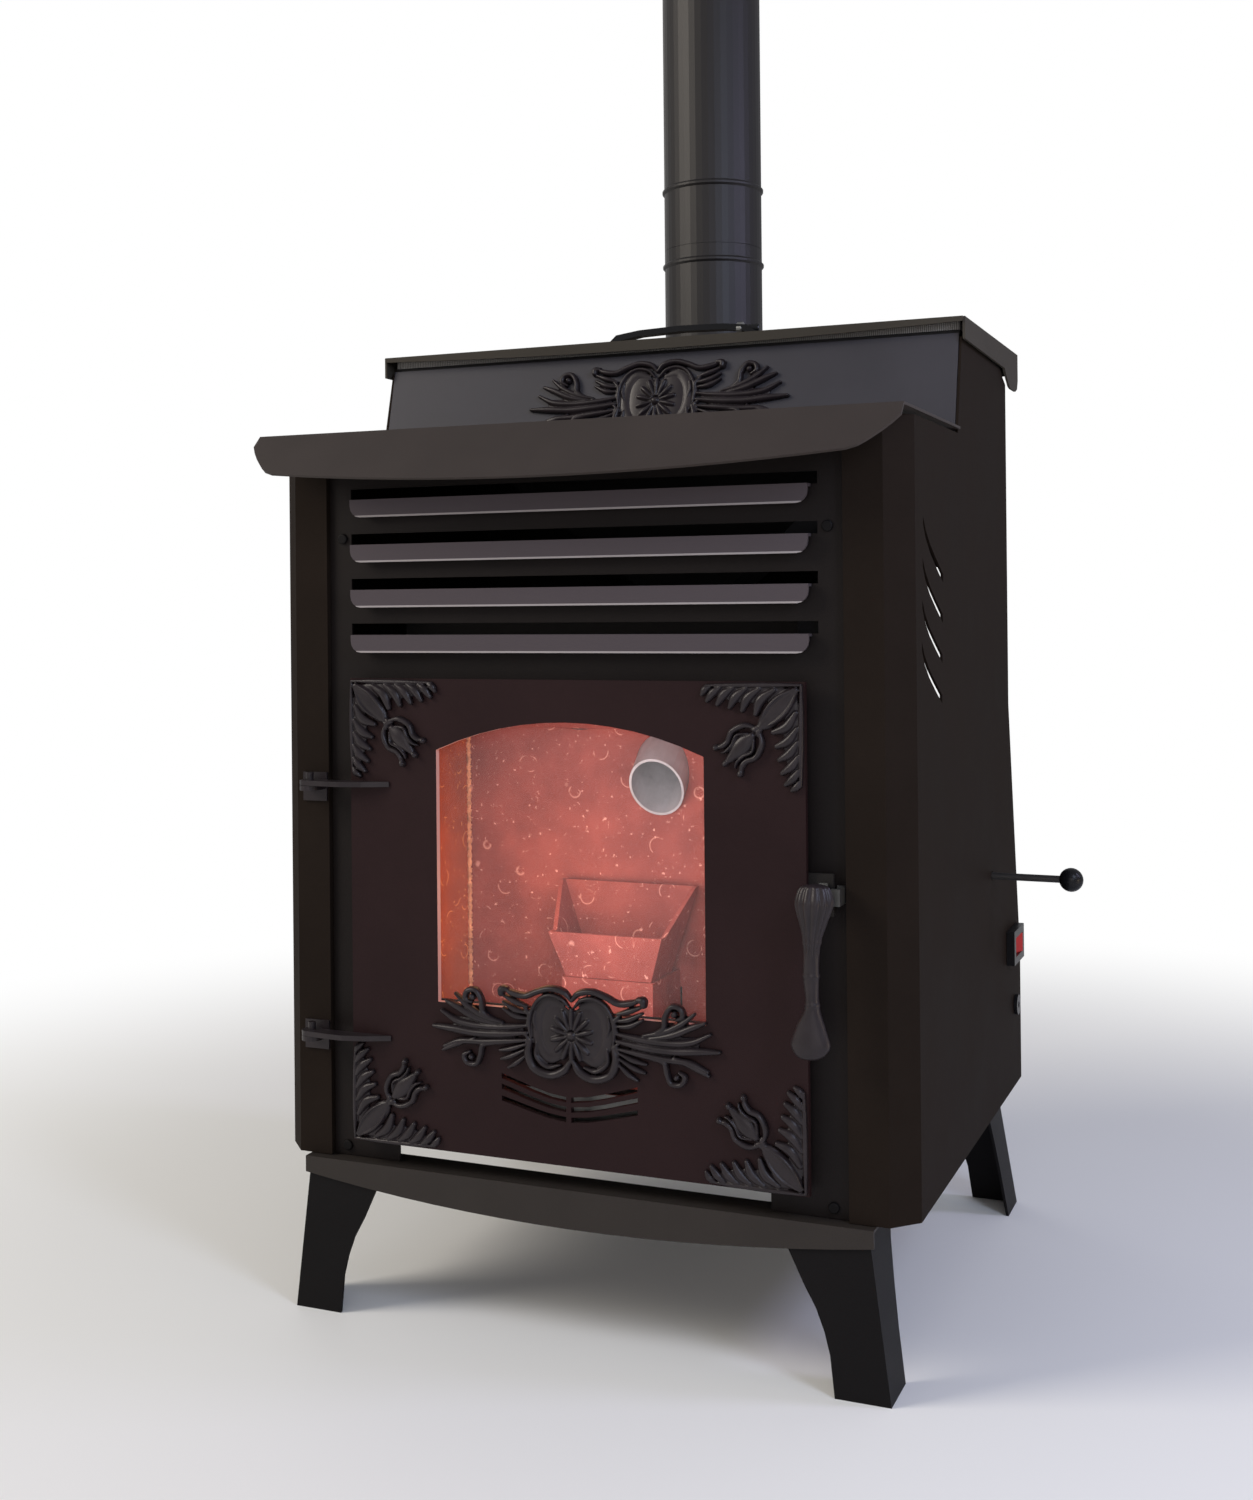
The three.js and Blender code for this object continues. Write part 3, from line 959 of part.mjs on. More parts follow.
place('cable_gland', cut(
  join(bar('x', GLAND.flange, panelOut, panelOut + GLAND.thick, GLAND_Y, GLAND_Z),
    bar('x', GLAND.stem, BODY_HALF - GLAND.depth, panelOut + 1, GLAND_Y, GLAND_Z)),
  bar('x', GLAND.bore, BODY_HALF - GLAND.depth - 1, panelOut + GLAND.thick + 1, GLAND_Y, GLAND_Z),
), finish(0x141414, 0.6, 0));

// ---------------------------------------------------------------- shared frame
// The origin is the middle of the whole stove's box, on the floor.
const box = new THREE.Box3().setFromObject(inner);
const centre = box.getCenter(new THREE.Vector3());
inner.children.forEach((mesh) => mesh.geometry.translate(-centre.x, -centre.y, -box.min.z));

const stove = new THREE.Group();
stove.name = 'pellet_stove';
stove.add(...inner.children);
export default stove;
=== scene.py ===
"""Looks of the pellet stove: materials, castings, studio and camera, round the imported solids.

Lengths named in the tables are in millimetres in the frame the part's source is built in: the
middle of the body, the side plates' front bend and the floor. at() turns them into metres in
the shared frame.
"""
import math

import bpy
import numpy as np
from mathutils import Matrix, Vector


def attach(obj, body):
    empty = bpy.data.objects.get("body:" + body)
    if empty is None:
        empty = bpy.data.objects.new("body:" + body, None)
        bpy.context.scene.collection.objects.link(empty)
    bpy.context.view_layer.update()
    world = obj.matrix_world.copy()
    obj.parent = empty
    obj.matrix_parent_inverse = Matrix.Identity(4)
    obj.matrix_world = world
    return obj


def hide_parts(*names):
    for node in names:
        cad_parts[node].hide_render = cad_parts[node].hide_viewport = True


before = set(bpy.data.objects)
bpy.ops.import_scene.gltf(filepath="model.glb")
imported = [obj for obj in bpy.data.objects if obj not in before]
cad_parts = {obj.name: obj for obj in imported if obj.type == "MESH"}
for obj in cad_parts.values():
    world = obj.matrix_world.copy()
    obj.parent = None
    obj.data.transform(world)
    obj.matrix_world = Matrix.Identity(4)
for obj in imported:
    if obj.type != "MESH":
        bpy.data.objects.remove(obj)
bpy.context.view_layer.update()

# The building frame's origin lies this far from the shared frame's, in millimetres.
SHIFT = (36.0, 221.08, 0.0)


def at(x, y, z):
    return Vector(((x - SHIFT[0]) / 1000, (y - SHIFT[1]) / 1000, (z - SHIFT[2]) / 1000))


# ------------------------------------------------------------------ camera
# Fitted to the edges of the body, lid, door and legs in the photograph.
CAMERA_AT = (540.0, -1199.5, 560.4)
YAW, PITCH, ROLL = math.radians(22.66), math.radians(-0.17), math.radians(0.54)
FOCAL_PX, PHOTO_HIGH, PHOTO_CENTRE_Y = 1717.33, 1500, 601.84
SENSOR_MM = 36


def add_camera():
    forward = Vector((-math.sin(YAW) * math.cos(PITCH), math.cos(YAW) * math.cos(PITCH),
                      -math.sin(PITCH)))
    level = Vector((math.cos(YAW), math.sin(YAW), 0))
    upward = level.cross(forward)
    right = math.cos(ROLL) * level - math.sin(ROLL) * upward
    above = math.sin(ROLL) * level + math.cos(ROLL) * upward
    data = bpy.data.cameras.new("camera")
    data.lens = SENSOR_MM * FOCAL_PX / PHOTO_HIGH
    data.shift_y = -(PHOTO_HIGH / 2 - PHOTO_CENTRE_Y) / PHOTO_HIGH
    data.clip_start = 0.01
    camera = bpy.data.objects.new("camera", data)
    turn = Matrix((right, above, -forward)).transposed().to_4x4()
    camera.matrix_world = Matrix.Translation(at(*CAMERA_AT)) @ turn
    bpy.context.scene.collection.objects.link(camera)
    bpy.context.scene.camera = camera


add_camera()


# ------------------------------------------------------------------ materials
def new_material(name):
    mat = bpy.data.materials.new(name)
    mat.use_nodes = True
    return mat, mat.node_tree, mat.node_tree.nodes["Principled BSDF"]


def noise(tree, scale, detail=2.0, rough=0.5, stretch=None):
    coords = tree.nodes.new("ShaderNodeTexCoord")
    tex = tree.nodes.new("ShaderNodeTexNoise")
    tex.inputs["Scale"].default_value = scale
    tex.inputs["Detail"].default_value = detail
    tex.inputs["Roughness"].default_value = rough
    source = coords.outputs["Object"]
    if stretch:
        mapping = tree.nodes.new("ShaderNodeMapping")
        mapping.inputs["Scale"].default_value = stretch
        tree.links.new(source, mapping.inputs["Vector"])
        source = mapping.outputs["Vector"]
    tree.links.new(source, tex.inputs["Vector"])
    return tex


def ramp(tree, source, low, high, first, last):
    node = tree.nodes.new("ShaderNodeValToRGB")
    node.color_ramp.elements[0].position = low
    node.color_ramp.elements[1].position = high
    node.color_ramp.elements[0].color = (*first, 1)
    node.color_ramp.elements[1].color = (*last, 1)
    tree.links.new(source, node.inputs["Fac"])
    return node


def bump(tree, shader, source, strength, distance):
    node = tree.nodes.new("ShaderNodeBump")
    node.inputs["Strength"].default_value = strength
    node.inputs["Distance"].default_value = distance
    tree.links.new(source, node.inputs["Height"])
    tree.links.new(node.outputs["Normal"], shader.inputs["Normal"])


def coat(name, colour, rough=0.5, metal=0.0, grain=0.25, mottle=0.12, mottle_scale=9.0,
         grain_scale=1500.0, specular=0.2):
    """Powder coat or stove paint: a fine grain and a faint uneven tone."""
    mat, tree, shader = new_material(name)
    patches = noise(tree, mottle_scale, 4.0, 0.6)
    dark = tuple(c * (1 - mottle) for c in colour)
    light = tuple(min(1.0, c * (1 + mottle)) for c in colour)
    tone = ramp(tree, patches.outputs["Fac"], 0.3, 0.7, dark, light)
    tree.links.new(tone.outputs["Color"], shader.inputs["Base Color"])
    fine = noise(tree, grain_scale, 2.0, 0.6)
    bump(tree, shader, fine.outputs["Fac"], grain, 0.0004)
    spread = ramp(tree, patches.outputs["Fac"], 0.2, 0.8,
                  (rough * 0.9,) * 3, (min(1, rough * 1.12),) * 3)
    tree.links.new(spread.outputs["Color"], shader.inputs["Roughness"])
    shader.inputs["Metallic"].default_value = metal
    shader.inputs["Specular IOR Level"].default_value = specular
    return mat


def brushed(name, colour, rough, stretch, metal=1.0):
    """Bare or satin sheet with a drawn grain along one axis."""
    mat, tree, shader = new_material(name)
    lines = noise(tree, 60.0, 6.0, 0.7, stretch)
    tone = ramp(tree, lines.outputs["Fac"], 0.25, 0.75,
                tuple(c * 0.82 for c in colour), tuple(min(1, c * 1.15) for c in colour))
    tree.links.new(tone.outputs["Color"], shader.inputs["Base Color"])
    bump(tree, shader, lines.outputs["Fac"], 0.12, 0.0005)
    shader.inputs["Roughness"].default_value = rough
    shader.inputs["Metallic"].default_value = metal
    return mat


mats = {
    "hood": coat("hood_coat", (0.036, 0.028, 0.025), 0.5),
    "side": coat("side_coat", (0.0155, 0.0112, 0.0088), 0.6, specular=0.02),
    "lid": coat("lid_coat", (0.050, 0.044, 0.036), 0.6, specular=0.05),
    "hopper": coat("hopper_coat", (0.042, 0.040, 0.047), 0.5),
    "base": coat("base_coat", (0.028, 0.023, 0.020), 0.5),
    "leg": coat("leg_coat", (0.0060, 0.0052, 0.0054), 0.5, specular=0.10),
    "rear": coat("rear_coat", (0.014, 0.012, 0.011), 0.6),
    "cast": coat("casting", (0.020, 0.015, 0.017), 0.36, metal=0.10, grain=0.10, grain_scale=700.0,
                 mottle=0.2, mottle_scale=60.0, specular=0.32),
    "pipe": brushed("pipe_satin", (0.016, 0.014, 0.014), 0.48, (1, 1, 0.05), 0.35),
    "steel": brushed("bare_steel", (0.30, 0.30, 0.29), 0.38, (1, 1, 0.08)),
    "rod": brushed("dark_rod", (0.045, 0.042, 0.040), 0.42, (0.05, 1, 1), 0.6),
    "weld": coat("weld_bead", (0.75, 0.33, 0.17), 0.55, grain=0.8, grain_scale=420.0, mottle=0.45,
                 mottle_scale=160.0),
    "dark": coat("dark_sheet", (0.012, 0.011, 0.011), 0.6),
    "chute": coat("galvanised", (0.42, 0.45, 0.47), 0.45, metal=0.25, grain=0.1, mottle=0.2,
                  mottle_scale=40.0, specular=0.4),
    "plastic": coat("black_plastic", (0.008, 0.008, 0.009), 0.28, grain=0.05, mottle=0.02),
    "red": coat("red_plastic", (0.36, 0.010, 0.010), 0.3, grain=0.05, mottle=0.03),
}


def rope_material():
    mat, tree, shader = new_material("glass_rope")
    weave = tree.nodes.new("ShaderNodeTexWave")
    weave.inputs["Scale"].default_value = 180.0
    weave.inputs["Distortion"].default_value = 1.5
    coords = tree.nodes.new("ShaderNodeTexCoord")
    tree.links.new(coords.outputs["Object"], weave.inputs["Vector"])
    tone = ramp(tree, weave.outputs["Fac"], 0.2, 0.8, (0.16, 0.15, 0.14), (0.34, 0.33, 0.31))
    tree.links.new(tone.outputs["Color"], shader.inputs["Base Color"])
    bump(tree, shader, weave.outputs["Fac"], 0.5, 0.001)
    shader.inputs["Roughness"].default_value = 0.95
    return mat


def inside_mask(tree, low, high):
    """1 inside a box of the piece at rest, in the building frame's millimetres, 0 outside."""
    coords = tree.nodes.new("ShaderNodeTexCoord")
    split = tree.nodes.new("ShaderNodeSeparateXYZ")
    tree.links.new(coords.outputs["Object"], split.inputs["Vector"])
    product = None
    for axis, name in enumerate("XYZ"):
        for limit, operation in ((at(*low)[axis], "GREATER_THAN"), (at(*high)[axis], "LESS_THAN")):
            test = tree.nodes.new("ShaderNodeMath")
            test.operation = operation
            test.inputs[1].default_value = limit
            tree.links.new(split.outputs[name], test.inputs[0])
            if product is None:
                product = test
                continue
            both = tree.nodes.new("ShaderNodeMath")
            both.operation = "MULTIPLY"
            tree.links.new(product.outputs["Value"], both.inputs[0])
            tree.links.new(test.outputs["Value"], both.inputs[1])
            product = both
    return product.outputs["Value"]


def mixed(tree, factor, first, second, blend="MIX"):
    """Two colours, given as values or sockets, put together by a number or a mask."""
    mix = tree.nodes.new("ShaderNodeMix")
    mix.data_type = "RGBA"
    mix.blend_type = blend
    if isinstance(factor, float):
        mix.inputs["Factor"].default_value = factor
    else:
        tree.links.new(factor, mix.inputs["Factor"])
    for socket, value in (("A", first), ("B", second)):
        if isinstance(value, tuple):
            mix.inputs[socket].default_value = (*value, 1)
        else:
            tree.links.new(value, mix.inputs[socket])
    return mix.outputs["Result"]


SCUFF = (0.70, 0.46, 0.36)
RING_INNER, RING_MIDDLE, RING_OUTER = 0.27, 0.30, 0.33


def scuff_arcs(tree):
    """Short curved scuffs: parts of rings round scattered centres."""
    coords = tree.nodes.new("ShaderNodeTexCoord")
    rings = tree.nodes.new("ShaderNodeTexVoronoi")
    rings.inputs["Scale"].default_value = 42.0
    tree.links.new(coords.outputs["Object"], rings.inputs["Vector"])
    line = ramp(tree, rings.outputs["Distance"], RING_INNER, RING_OUTER, (0, 0, 0), (0, 0, 0))
    middle = line.color_ramp.elements.new(RING_MIDDLE)
    middle.color = (*SCUFF, 1)
    patches = noise(tree, 70.0, 2.0, 0.5)
    where = ramp(tree, patches.outputs["Fac"], 0.50, 0.56, (0, 0, 0), (1, 1, 1))
    return mixed(tree, 1.0, line.outputs["Color"], where.outputs["Color"], "MULTIPLY")


# The liner's reds are heat stains made redder by painted firelight.
LINER_DARK, LINER_LIGHT = (0.22, 0.047, 0.037), (0.41, 0.096, 0.072)
LINER_FLECK = (0.75, 0.52, 0.42)
# Painted shade on the firebox shell's outside, inside the dark casing.
OUTSIDE_PAINTED_SHADE = (0.010, 0.008, 0.007)
# Painted firelight that makes the left wall more orange.
LEFT_WALL_PAINTED_FIRELIGHT = (1.30, 1.02, 0.32)
FIREBOX_LOW, FIREBOX_HIGH = (-164.5, -12, 199), (164.5, 125.5, 500)
LEFT_WALL_HIGH = (-162.0, 123.0, 500)


def liner_material(name):
    """Heat-stained, blotched red-brown plate, its red partly painted firelight. Returns the
    material and its colour's socket.
    """
    mat, tree, shader = new_material(name)
    blotch = noise(tree, 22.0, 8.0, 0.62)
    tone = ramp(tree, blotch.outputs["Fac"], 0.3, 0.72, LINER_DARK, LINER_LIGHT)
    specks = noise(tree, 260.0, 3.0, 0.6)
    fleck = ramp(tree, specks.outputs["Fac"], 0.64, 0.71, (0, 0, 0), LINER_FLECK)
    brown = mixed(tree, 0.55, tone.outputs["Color"], fleck.outputs["Color"], "ADD")
    brown = mixed(tree, 0.5, brown, scuff_arcs(tree), "ADD")
    tree.links.new(brown, shader.inputs["Base Color"])
    bump(tree, shader, specks.outputs["Fac"], 0.35, 0.0008)
    shader.inputs["Roughness"].default_value = 0.72
    shader.inputs["Specular IOR Level"].default_value = 0.25
    return mat, brown


def firebox_material():
    """The liner's plate inside, the left wall more orange by painted firelight, and painted shade
    outside the firebox.
    """
    mat, brown = liner_material("liner_stain_and_painted_firelight")
    tree = mat.node_tree
    left_wall = inside_mask(tree, FIREBOX_LOW, LEFT_WALL_HIGH)
    # Painted firelight: the left wall's plate is made more orange.
    firelit_brown = mixed(tree, 1.0, brown, LEFT_WALL_PAINTED_FIRELIGHT, "MULTIPLY")
    inner = mixed(tree, left_wall, brown, firelit_brown)
    # Painted shade: the shell's outside is made near black.
    tone = mixed(tree, inside_mask(tree, FIREBOX_LOW, FIREBOX_HIGH), OUTSIDE_PAINTED_SHADE, inner)
    tree.links.new(tone, tree.nodes["Principled BSDF"].inputs["Base Color"])
    return mat


def glass_material():
    mat, tree, shader = new_material("stove_glass")
    smear = noise(tree, 12.0, 3.0, 0.6)
    level_ramp = ramp(tree, smear.outputs["Fac"], 0.3, 0.8, (0.02,) * 3, (0.09,) * 3)
    tree.links.new(level_ramp.outputs["Color"], shader.inputs["Roughness"])
    shader.inputs["Base Color"].default_value = (0.95, 0.92, 0.9, 1)
    shader.inputs["Alpha"].default_value = 0.03
    shader.inputs["Specular IOR Level"].default_value = 0.25
    return mat


SLAT_TOPS = (647.5, 611.7, 575.9, 540.1)
SLATS_LOW, SLATS_HIGH = (-192, -24.5, 520), (192, -15.2, 650)
EDGE_TOP, EDGE_BOTTOM = 12.6, 14.2  # of the painted highlight along a slat's lower edge, below the slat's top
# Painted light on the slats' faces and a painted highlight on their lower edges.
SLAT_PAINTED_LIGHT, SLAT_EDGE_PAINTED_HIGHLIGHT = (0.070, 0.058, 0.064), (0.32, 0.29, 0.29)


def repaint(mat, masks_and_tones):
    """Lays each tone over a coat's colour inside its mask, a box of the piece at rest."""
    tree = mat.node_tree
    base = tree.nodes["Principled BSDF"].inputs["Base Color"]
    tone = base.links[0].from_socket
    for low, high, colour in masks_and_tones:
        tone = mixed(tree, inside_mask(tree, low, high), tone, colour)
    tree.links.new(tone, base)
    return mat


def front_material():
    """Near-black frame paint, partly painted shade of the recess round the door; the folded slats
    carry painted light, and their lower edges a painted highlight.
    """
    patches = [(SLATS_LOW, SLATS_HIGH, SLAT_PAINTED_LIGHT)]
    patches += [((*SLATS_LOW[:2], top - EDGE_BOTTOM), (*SLATS_HIGH[:2], top - EDGE_TOP),
                 SLAT_EDGE_PAINTED_HIGHLIGHT) for top in SLAT_TOPS]
    return repaint(coat("front_and_slats", (0.010, 0.0075, 0.0070), 0.48, specular=0.12), patches)


# Box round the window's bare cut edge, which carries a painted reflection of the firelight.
RIM_LOW, RIM_HIGH = (-111.4, -27.96, 255), (111.4, -22.5, 475.2)


def door_material():
    """Stove paint, with the window's bare cut edge lighter and warm with a painted reflection of
    the firelight.
    """
    return repaint(coat("door_paint", (0.0185, 0.0085, 0.0090), 0.46, specular=0.11),
                   [(RIM_LOW, RIM_HIGH, (0.75, 0.42, 0.36))])


mats["front"] = front_material()
mats["door"] = door_material()
mats["rope"] = rope_material()
mats["liner"] = firebox_material()
mats["pot"] = liner_material("pot_stain_and_painted_firelight")[0]
mats["glass"] = glass_material()

LOOKS = {
    "hood": ["top_hood"],
    "front": ["front_frame"],
    "side": ["side_panel_left", "side_panel_right"],
    "lid": ["lid"],
    "hopper": ["hopper_front"],
    "door": ["door_panel"],
    "base": ["base_rail", "base_bar_left", "base_bar_right"],
    "leg": ["leg_front_left", "leg_front_right", "leg_rear_left", "leg_rear_right"],
    "rear": ["rear_panel", "floor_plate", "glass_frame", "latch_plate", "blower_motor"],
    "cast": ["hinge_arm_lower", "hinge_arm_upper", "hinge_bracket_lower", "hinge_bracket_upper",
             "door_handle", "door_ornament", "hopper_ornament", "corner_ornament_lower_left",
             "corner_ornament_lower_right", "corner_ornament_upper_left",
             "corner_ornament_upper_right", "lid_hinge_left", "lid_hinge_right"],
    "pipe": ["flue_tee", "tee_cap", "flue_pipe_lower", "flue_pipe_upper"],
    "chute": ["pellet_chute"],
    "pot": ["burn_pot", "pot_holder", "baffle_plate"],
    "dark": ["hopper_bin", "air_duct"],
    "rod": ["slide_rod"],
    "steel": ["ash_pan", "slide_blade", "latch_spindle", "latch_cam", "door_keeper", "flue_duct",
              "blower_housing", "blower_rotor"],
    "liner": ["firebox_shell"],
    "plastic": ["ball_knob", "switch_bezel", "cable_gland", "lid_handle"],
    "red": ["switch_rocker"],
    "rope": ["door_seal", "lid_seal"],
    "glass": ["door_glass"],
}
# Rounding of the edges, in millimetres.
EDGE = 0.3
WIDER_EDGES = {"top_hood": 0.7, "front_frame": 0.5, "lid": 0.7, "door_panel": 0.8, "base_rail": 0.6,
               "side_panel_left": 0.5, "side_panel_right": 0.5, "hopper_front": 0.5}


def dress(name, mat):
    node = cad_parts[name]
    node.data.materials.clear()
    node.data.materials.append(mat)
    soft_edge = node.modifiers.new("edge", "BEVEL")
    soft_edge.width = WIDER_EDGES.get(name, EDGE) / 1000
    soft_edge.segments = 2
    soft_edge.limit_method = "ANGLE"
    soft_edge.angle_limit = math.radians(30)
    soft_edge.harden_normals = True


for look, names in LOOKS.items():
    for name in names:
        dress(name, mats[look])


# ------------------------------------------------------------------ new pieces
def add_mesh(name, verts, faces, mat, body, smooth=True):
    mesh = bpy.data.meshes.new(name)
    mesh.from_pydata([tuple(v) for v in verts], [], faces)
    mesh.validate()
    mesh.polygons.foreach_set("use_smooth", [smooth] * len(mesh.polygons))
    mesh.materials.append(mat)
    obj = bpy.data.objects.new(name, mesh)
    bpy.context.scene.collection.objects.link(obj)
    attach(obj, body)
    return obj


def spline(points, step):
    """Catmull-Rom samples through rows of numbers, about step apart in the first two."""
    rows = np.array(points, float)
    padded = np.vstack([2 * rows[0] - rows[1], rows, 2 * rows[-1] - rows[-2]])
    samples = []
    for i in range(1, len(padded) - 2):
        a, b, c, d = padded[i - 1:i + 3]
        count = max(2, int(np.hypot(*(c - b)[:2]) / step) + 1)
        for t in np.arange(count) / count:
            samples.append(0.5 * (2 * b + (c - a) * t + (2 * a - 5 * b + 4 * c - d) * t * t
                                  + (3 * b - a - 3 * c + d) * t ** 3))
    samples.append(rows[-1])
    return np.array(samples)


CELL = 0.5  # of the castings' grid, in millimetres
REACH = 0.8  # how far out a grid point is still drawn onto a stroke's edge
THINNEST = 0.05


def relief(strokes):
    """A closed cast relief over the union of round strokes, given as rows of
    (u, v, radius, height). Returns (u, v, height) points and faces; height 0 is the back."""
    samples = [spline(stroke, CELL * 0.8) for stroke in strokes]
    low = np.min([s[:, :2].min(0) - s[:, 2].max() for s in samples], axis=0) - 2 * CELL
    high = np.max([s[:, :2].max(0) + s[:, 2].max() for s in samples], axis=0) + 2 * CELL
    wide, tall = np.ceil((high - low) / CELL).astype(int) + 1
    u, v = np.meshgrid(low[0] + np.arange(wide) * CELL, low[1] + np.arange(tall) * CELL,
                       indexing="ij")
    height = np.zeros_like(u)
    outside = np.full_like(u, REACH)
    edge_u, edge_v = u.copy(), v.copy()
    for x, y, radius, rise in np.vstack(samples):
        if radius <= THINNEST:
            continue
        span = radius + REACH
        i0, i1 = int((x - span - low[0]) / CELL), int((x + span - low[0]) / CELL) + 2
        j0, j1 = int((y - span - low[1]) / CELL), int((y + span - low[1]) / CELL) + 2
        window = (slice(max(i0, 0), i1), slice(max(j0, 0), j1))
        du, dv = u[window] - x, v[window] - y
        away = np.hypot(du, dv)
        dome = np.sqrt(np.clip(1 - (away / radius) ** 2, 0, 1))
        raised = np.where(away < radius, rise * (0.25 + 0.75 * dome), 0)
        height[window] = np.maximum(height[window], raised)
        gap = away - radius
        closer = gap < outside[window]
        outside[window] = np.where(closer, gap, outside[window])
        scale = radius / np.maximum(away, 1e-6)
        edge_u[window] = np.where(closer, x + du * scale, edge_u[window])
        edge_v[window] = np.where(closer, y + dv * scale, edge_v[window])
    inside = height > 0
    cells = inside[:-1, :-1] | inside[1:, :-1] | inside[:-1, 1:] | inside[1:, 1:]
    snapped = ~inside & (outside < REACH)
    u = np.where(snapped, edge_u, u)
    v = np.where(snapped, edge_v, v)
    index = np.arange(wide * tall).reshape(wide, tall)
    i, j = np.nonzero(cells)
    corners = np.stack([index[i, j], index[i + 1, j], index[i + 1, j + 1], index[i, j + 1]],
                       axis=1)
    top = np.stack([u.ravel(), v.ravel(), height.ravel()], axis=1)
    back = top * (1, 1, 0)
    shared = ~inside.ravel()
    below = np.where(shared, np.arange(len(top)), np.arange(len(top)) + len(top))
    faces = np.vstack([corners, below[corners[:, ::-1]]])
    points = np.vstack([top, back])
    used, flat = np.unique(faces, return_inverse=True)
    return points[used], flat.reshape(faces.shape).tolist()


def mirror_strokes(strokes):
    return strokes + [[(-row[0], *row[1:]) for row in stroke] for stroke in strokes]


def swap_strokes(strokes):
    return strokes + [[(row[1], row[0], *row[2:]) for row in stroke] for stroke in strokes]


def evenly(radius, rise, *points):
    """A stroke of one radius and rise that tapers at both ends."""
    ends = (0, len(points) - 1)
    return [(u, v, radius * (0.55 if n in ends else 1.0), rise * (0.75 if n in ends else 1.0))
            for n, (u, v) in enumerate(points)]


# The right half of the scroll, about its middle: stems, curls, leaves and the plain ground.
SCROLL_HALF = [
    evenly(2.5, 5.2, (0, 24), (6, 30), (17, 32), (28, 29), (38, 25), (48, 26), (56, 29)),
    [(54, 29, 2, 5), (58, 28.5, 3, 5.6), (58.5, 25.5, 2.6, 5.6)],
    evenly(1.7, 4.2, (2, 19), (8, 25), (18, 27), (27, 23), (33, 14), (35, 4), (34, -6)),
    evenly(3.2, 5.4, (34, -8), (36, -18), (31, -29), (18, -33), (7, -29), (1, -21)),
    evenly(2.0, 4.2, (29, -10), (29, -20), (20, -27), (10, -25)),
    evenly(2.0, 4.4, (40, 17), (35, 11), (37, 3)),
    evenly(1.5, 3.8, (30, 14), (31, 7), (29, 0)),
    evenly(1.6, 4.0, (41, -3), (36, -7), (39, -13)),
    evenly(2.6, 4.8, (37, 2.5), (55, 0), (75, -1), (95, 1), (110, 8)),
    evenly(2.9, 5.2, (37, -3), (58, -5.5), (80, -6.5), (100, -5), (117, -4)),
    evenly(2.5, 4.6, (37, -8.5), (56, -11), (76, -13), (94, -14), (108, -19)),
    evenly(2.6, 4.9, (62, 1), (80, 5), (96, 12), (106, 16)),
    evenly(2.4, 4.7, (58, 3), (74, 7), (88, 14), (98, 22)),
    evenly(2.3, 5.0, (66, 5), (74, 10), (75.5, 19), (80.5, 26), (87.5, 25), (89, 19.5), (84, 16.5)),
    [(82.5, 20.5, 2.4, 5.4), (83.2, 21.2, 2.4, 5.6)],
    evenly(2.4, 4.8, (82, -11), (96, -16), (109, -22)),
    evenly(2.2, 5.0, (62, -13), (74, -15), (76.5, -23), (80, -30), (87.5, -30), (90.5, -24.5),
           (86, -21.5)),
    [(84, -25.5, 2.2, 5.2), (84.6, -25, 2.2, 5.4)],
    evenly(2.3, 4.4, (37, 8), (47, 9), (57, 14)),
    evenly(2.3, 4.5, (37, 12), (47, 14), (57, 19)),
    evenly(2.3, 4.6, (37, 17), (47, 20), (57, 24)),
    evenly(2.2, 4.4, (39, -12), (50, -16), (60, -18)),
    evenly(2.2, 4.5, (39, -16), (50, -21.5), (59, -24.5)),
    evenly(2.1, 4.5, (38, -20), (46, -26.5), (53, -30.5)),
    evenly(4.5, 2.0, (8, 20), (20, 22), (28, 10), (28, -8), (20, -20), (8, -18)),
    evenly(9.0, 1.7, (2, 10), (14, 12), (16, -4), (12, -12), (2, -10)),
    evenly(7.0, 1.7, (44, -2), (60, -4), (80, -3), (98, 1)),
]
PETALS = 14
PETAL_ROWS = [(4.5, 1.3, 3.6), (12, 2.2, 4.6), (16.5, 1.9, 4.0)]  # distance, radius, rise
ROSETTE_V, ROSETTE_TALLER = -2, 1.15
petal_angles = [2 * math.pi * (k + 0.5) / PETALS for k in range(PETALS)]
ROSETTE = [[(out * math.cos(a), ROSETTE_TALLER * out * math.sin(a) + ROSETTE_V, radius, rise)
            for out, radius, rise in PETAL_ROWS] for a in petal_angles]
ROSETTE.append([(-0.5, ROSETTE_V, 3.4, 5.2), (0.5, ROSETTE_V, 3.4, 5.2)])

# Half of a corner, about its diagonal: rim, stem, leaves and the tulip's side; then its middle.
CORNER_HALF = [
    evenly(1.9, 3.6, (2.2, 2.2), (25, 2.3), (50, 2.6), (74, 3)),
    evenly(1.7, 5.4, (7, 5), (19, 11), (27, 19), (32, 28)),
    evenly(3.8, 5.2, (22, 6), (32, 13), (36, 23)),
    evenly(3.6, 5.2, (33, 5), (42, 12), (46, 20.5)),
    evenly(3.5, 5.1, (43, 5), (51, 11), (55.5, 18.5)),
    evenly(3.4, 5.0, (53, 4.5), (60, 9.5), (65, 16.5)),
    evenly(3.2, 4.8, (63, 4.5), (68.5, 8.5), (73, 14)),
    evenly(2.8, 4.2, (71, 4), (74.5, 6), (77, 9.5)),
    evenly(6.0, 2.2, (10, 8), (30, 9), (50, 9), (66, 7)),
    evenly(2.3, 4.8, (36, 33), (45, 31.5), (54, 36), (57, 43), (61, 46.5), (66, 47.5)),
    evenly(1.3, 5.4, (42, 37), (50, 38.5), (53.5, 45), (58, 50), (62, 51.5)),
    [(65.5, 47.5, 2.2, 4.8), (66.5, 48, 2.4, 5.2)],
    evenly(2.4, 4.4, (31, 33), (34, 36), (34, 39)),
]
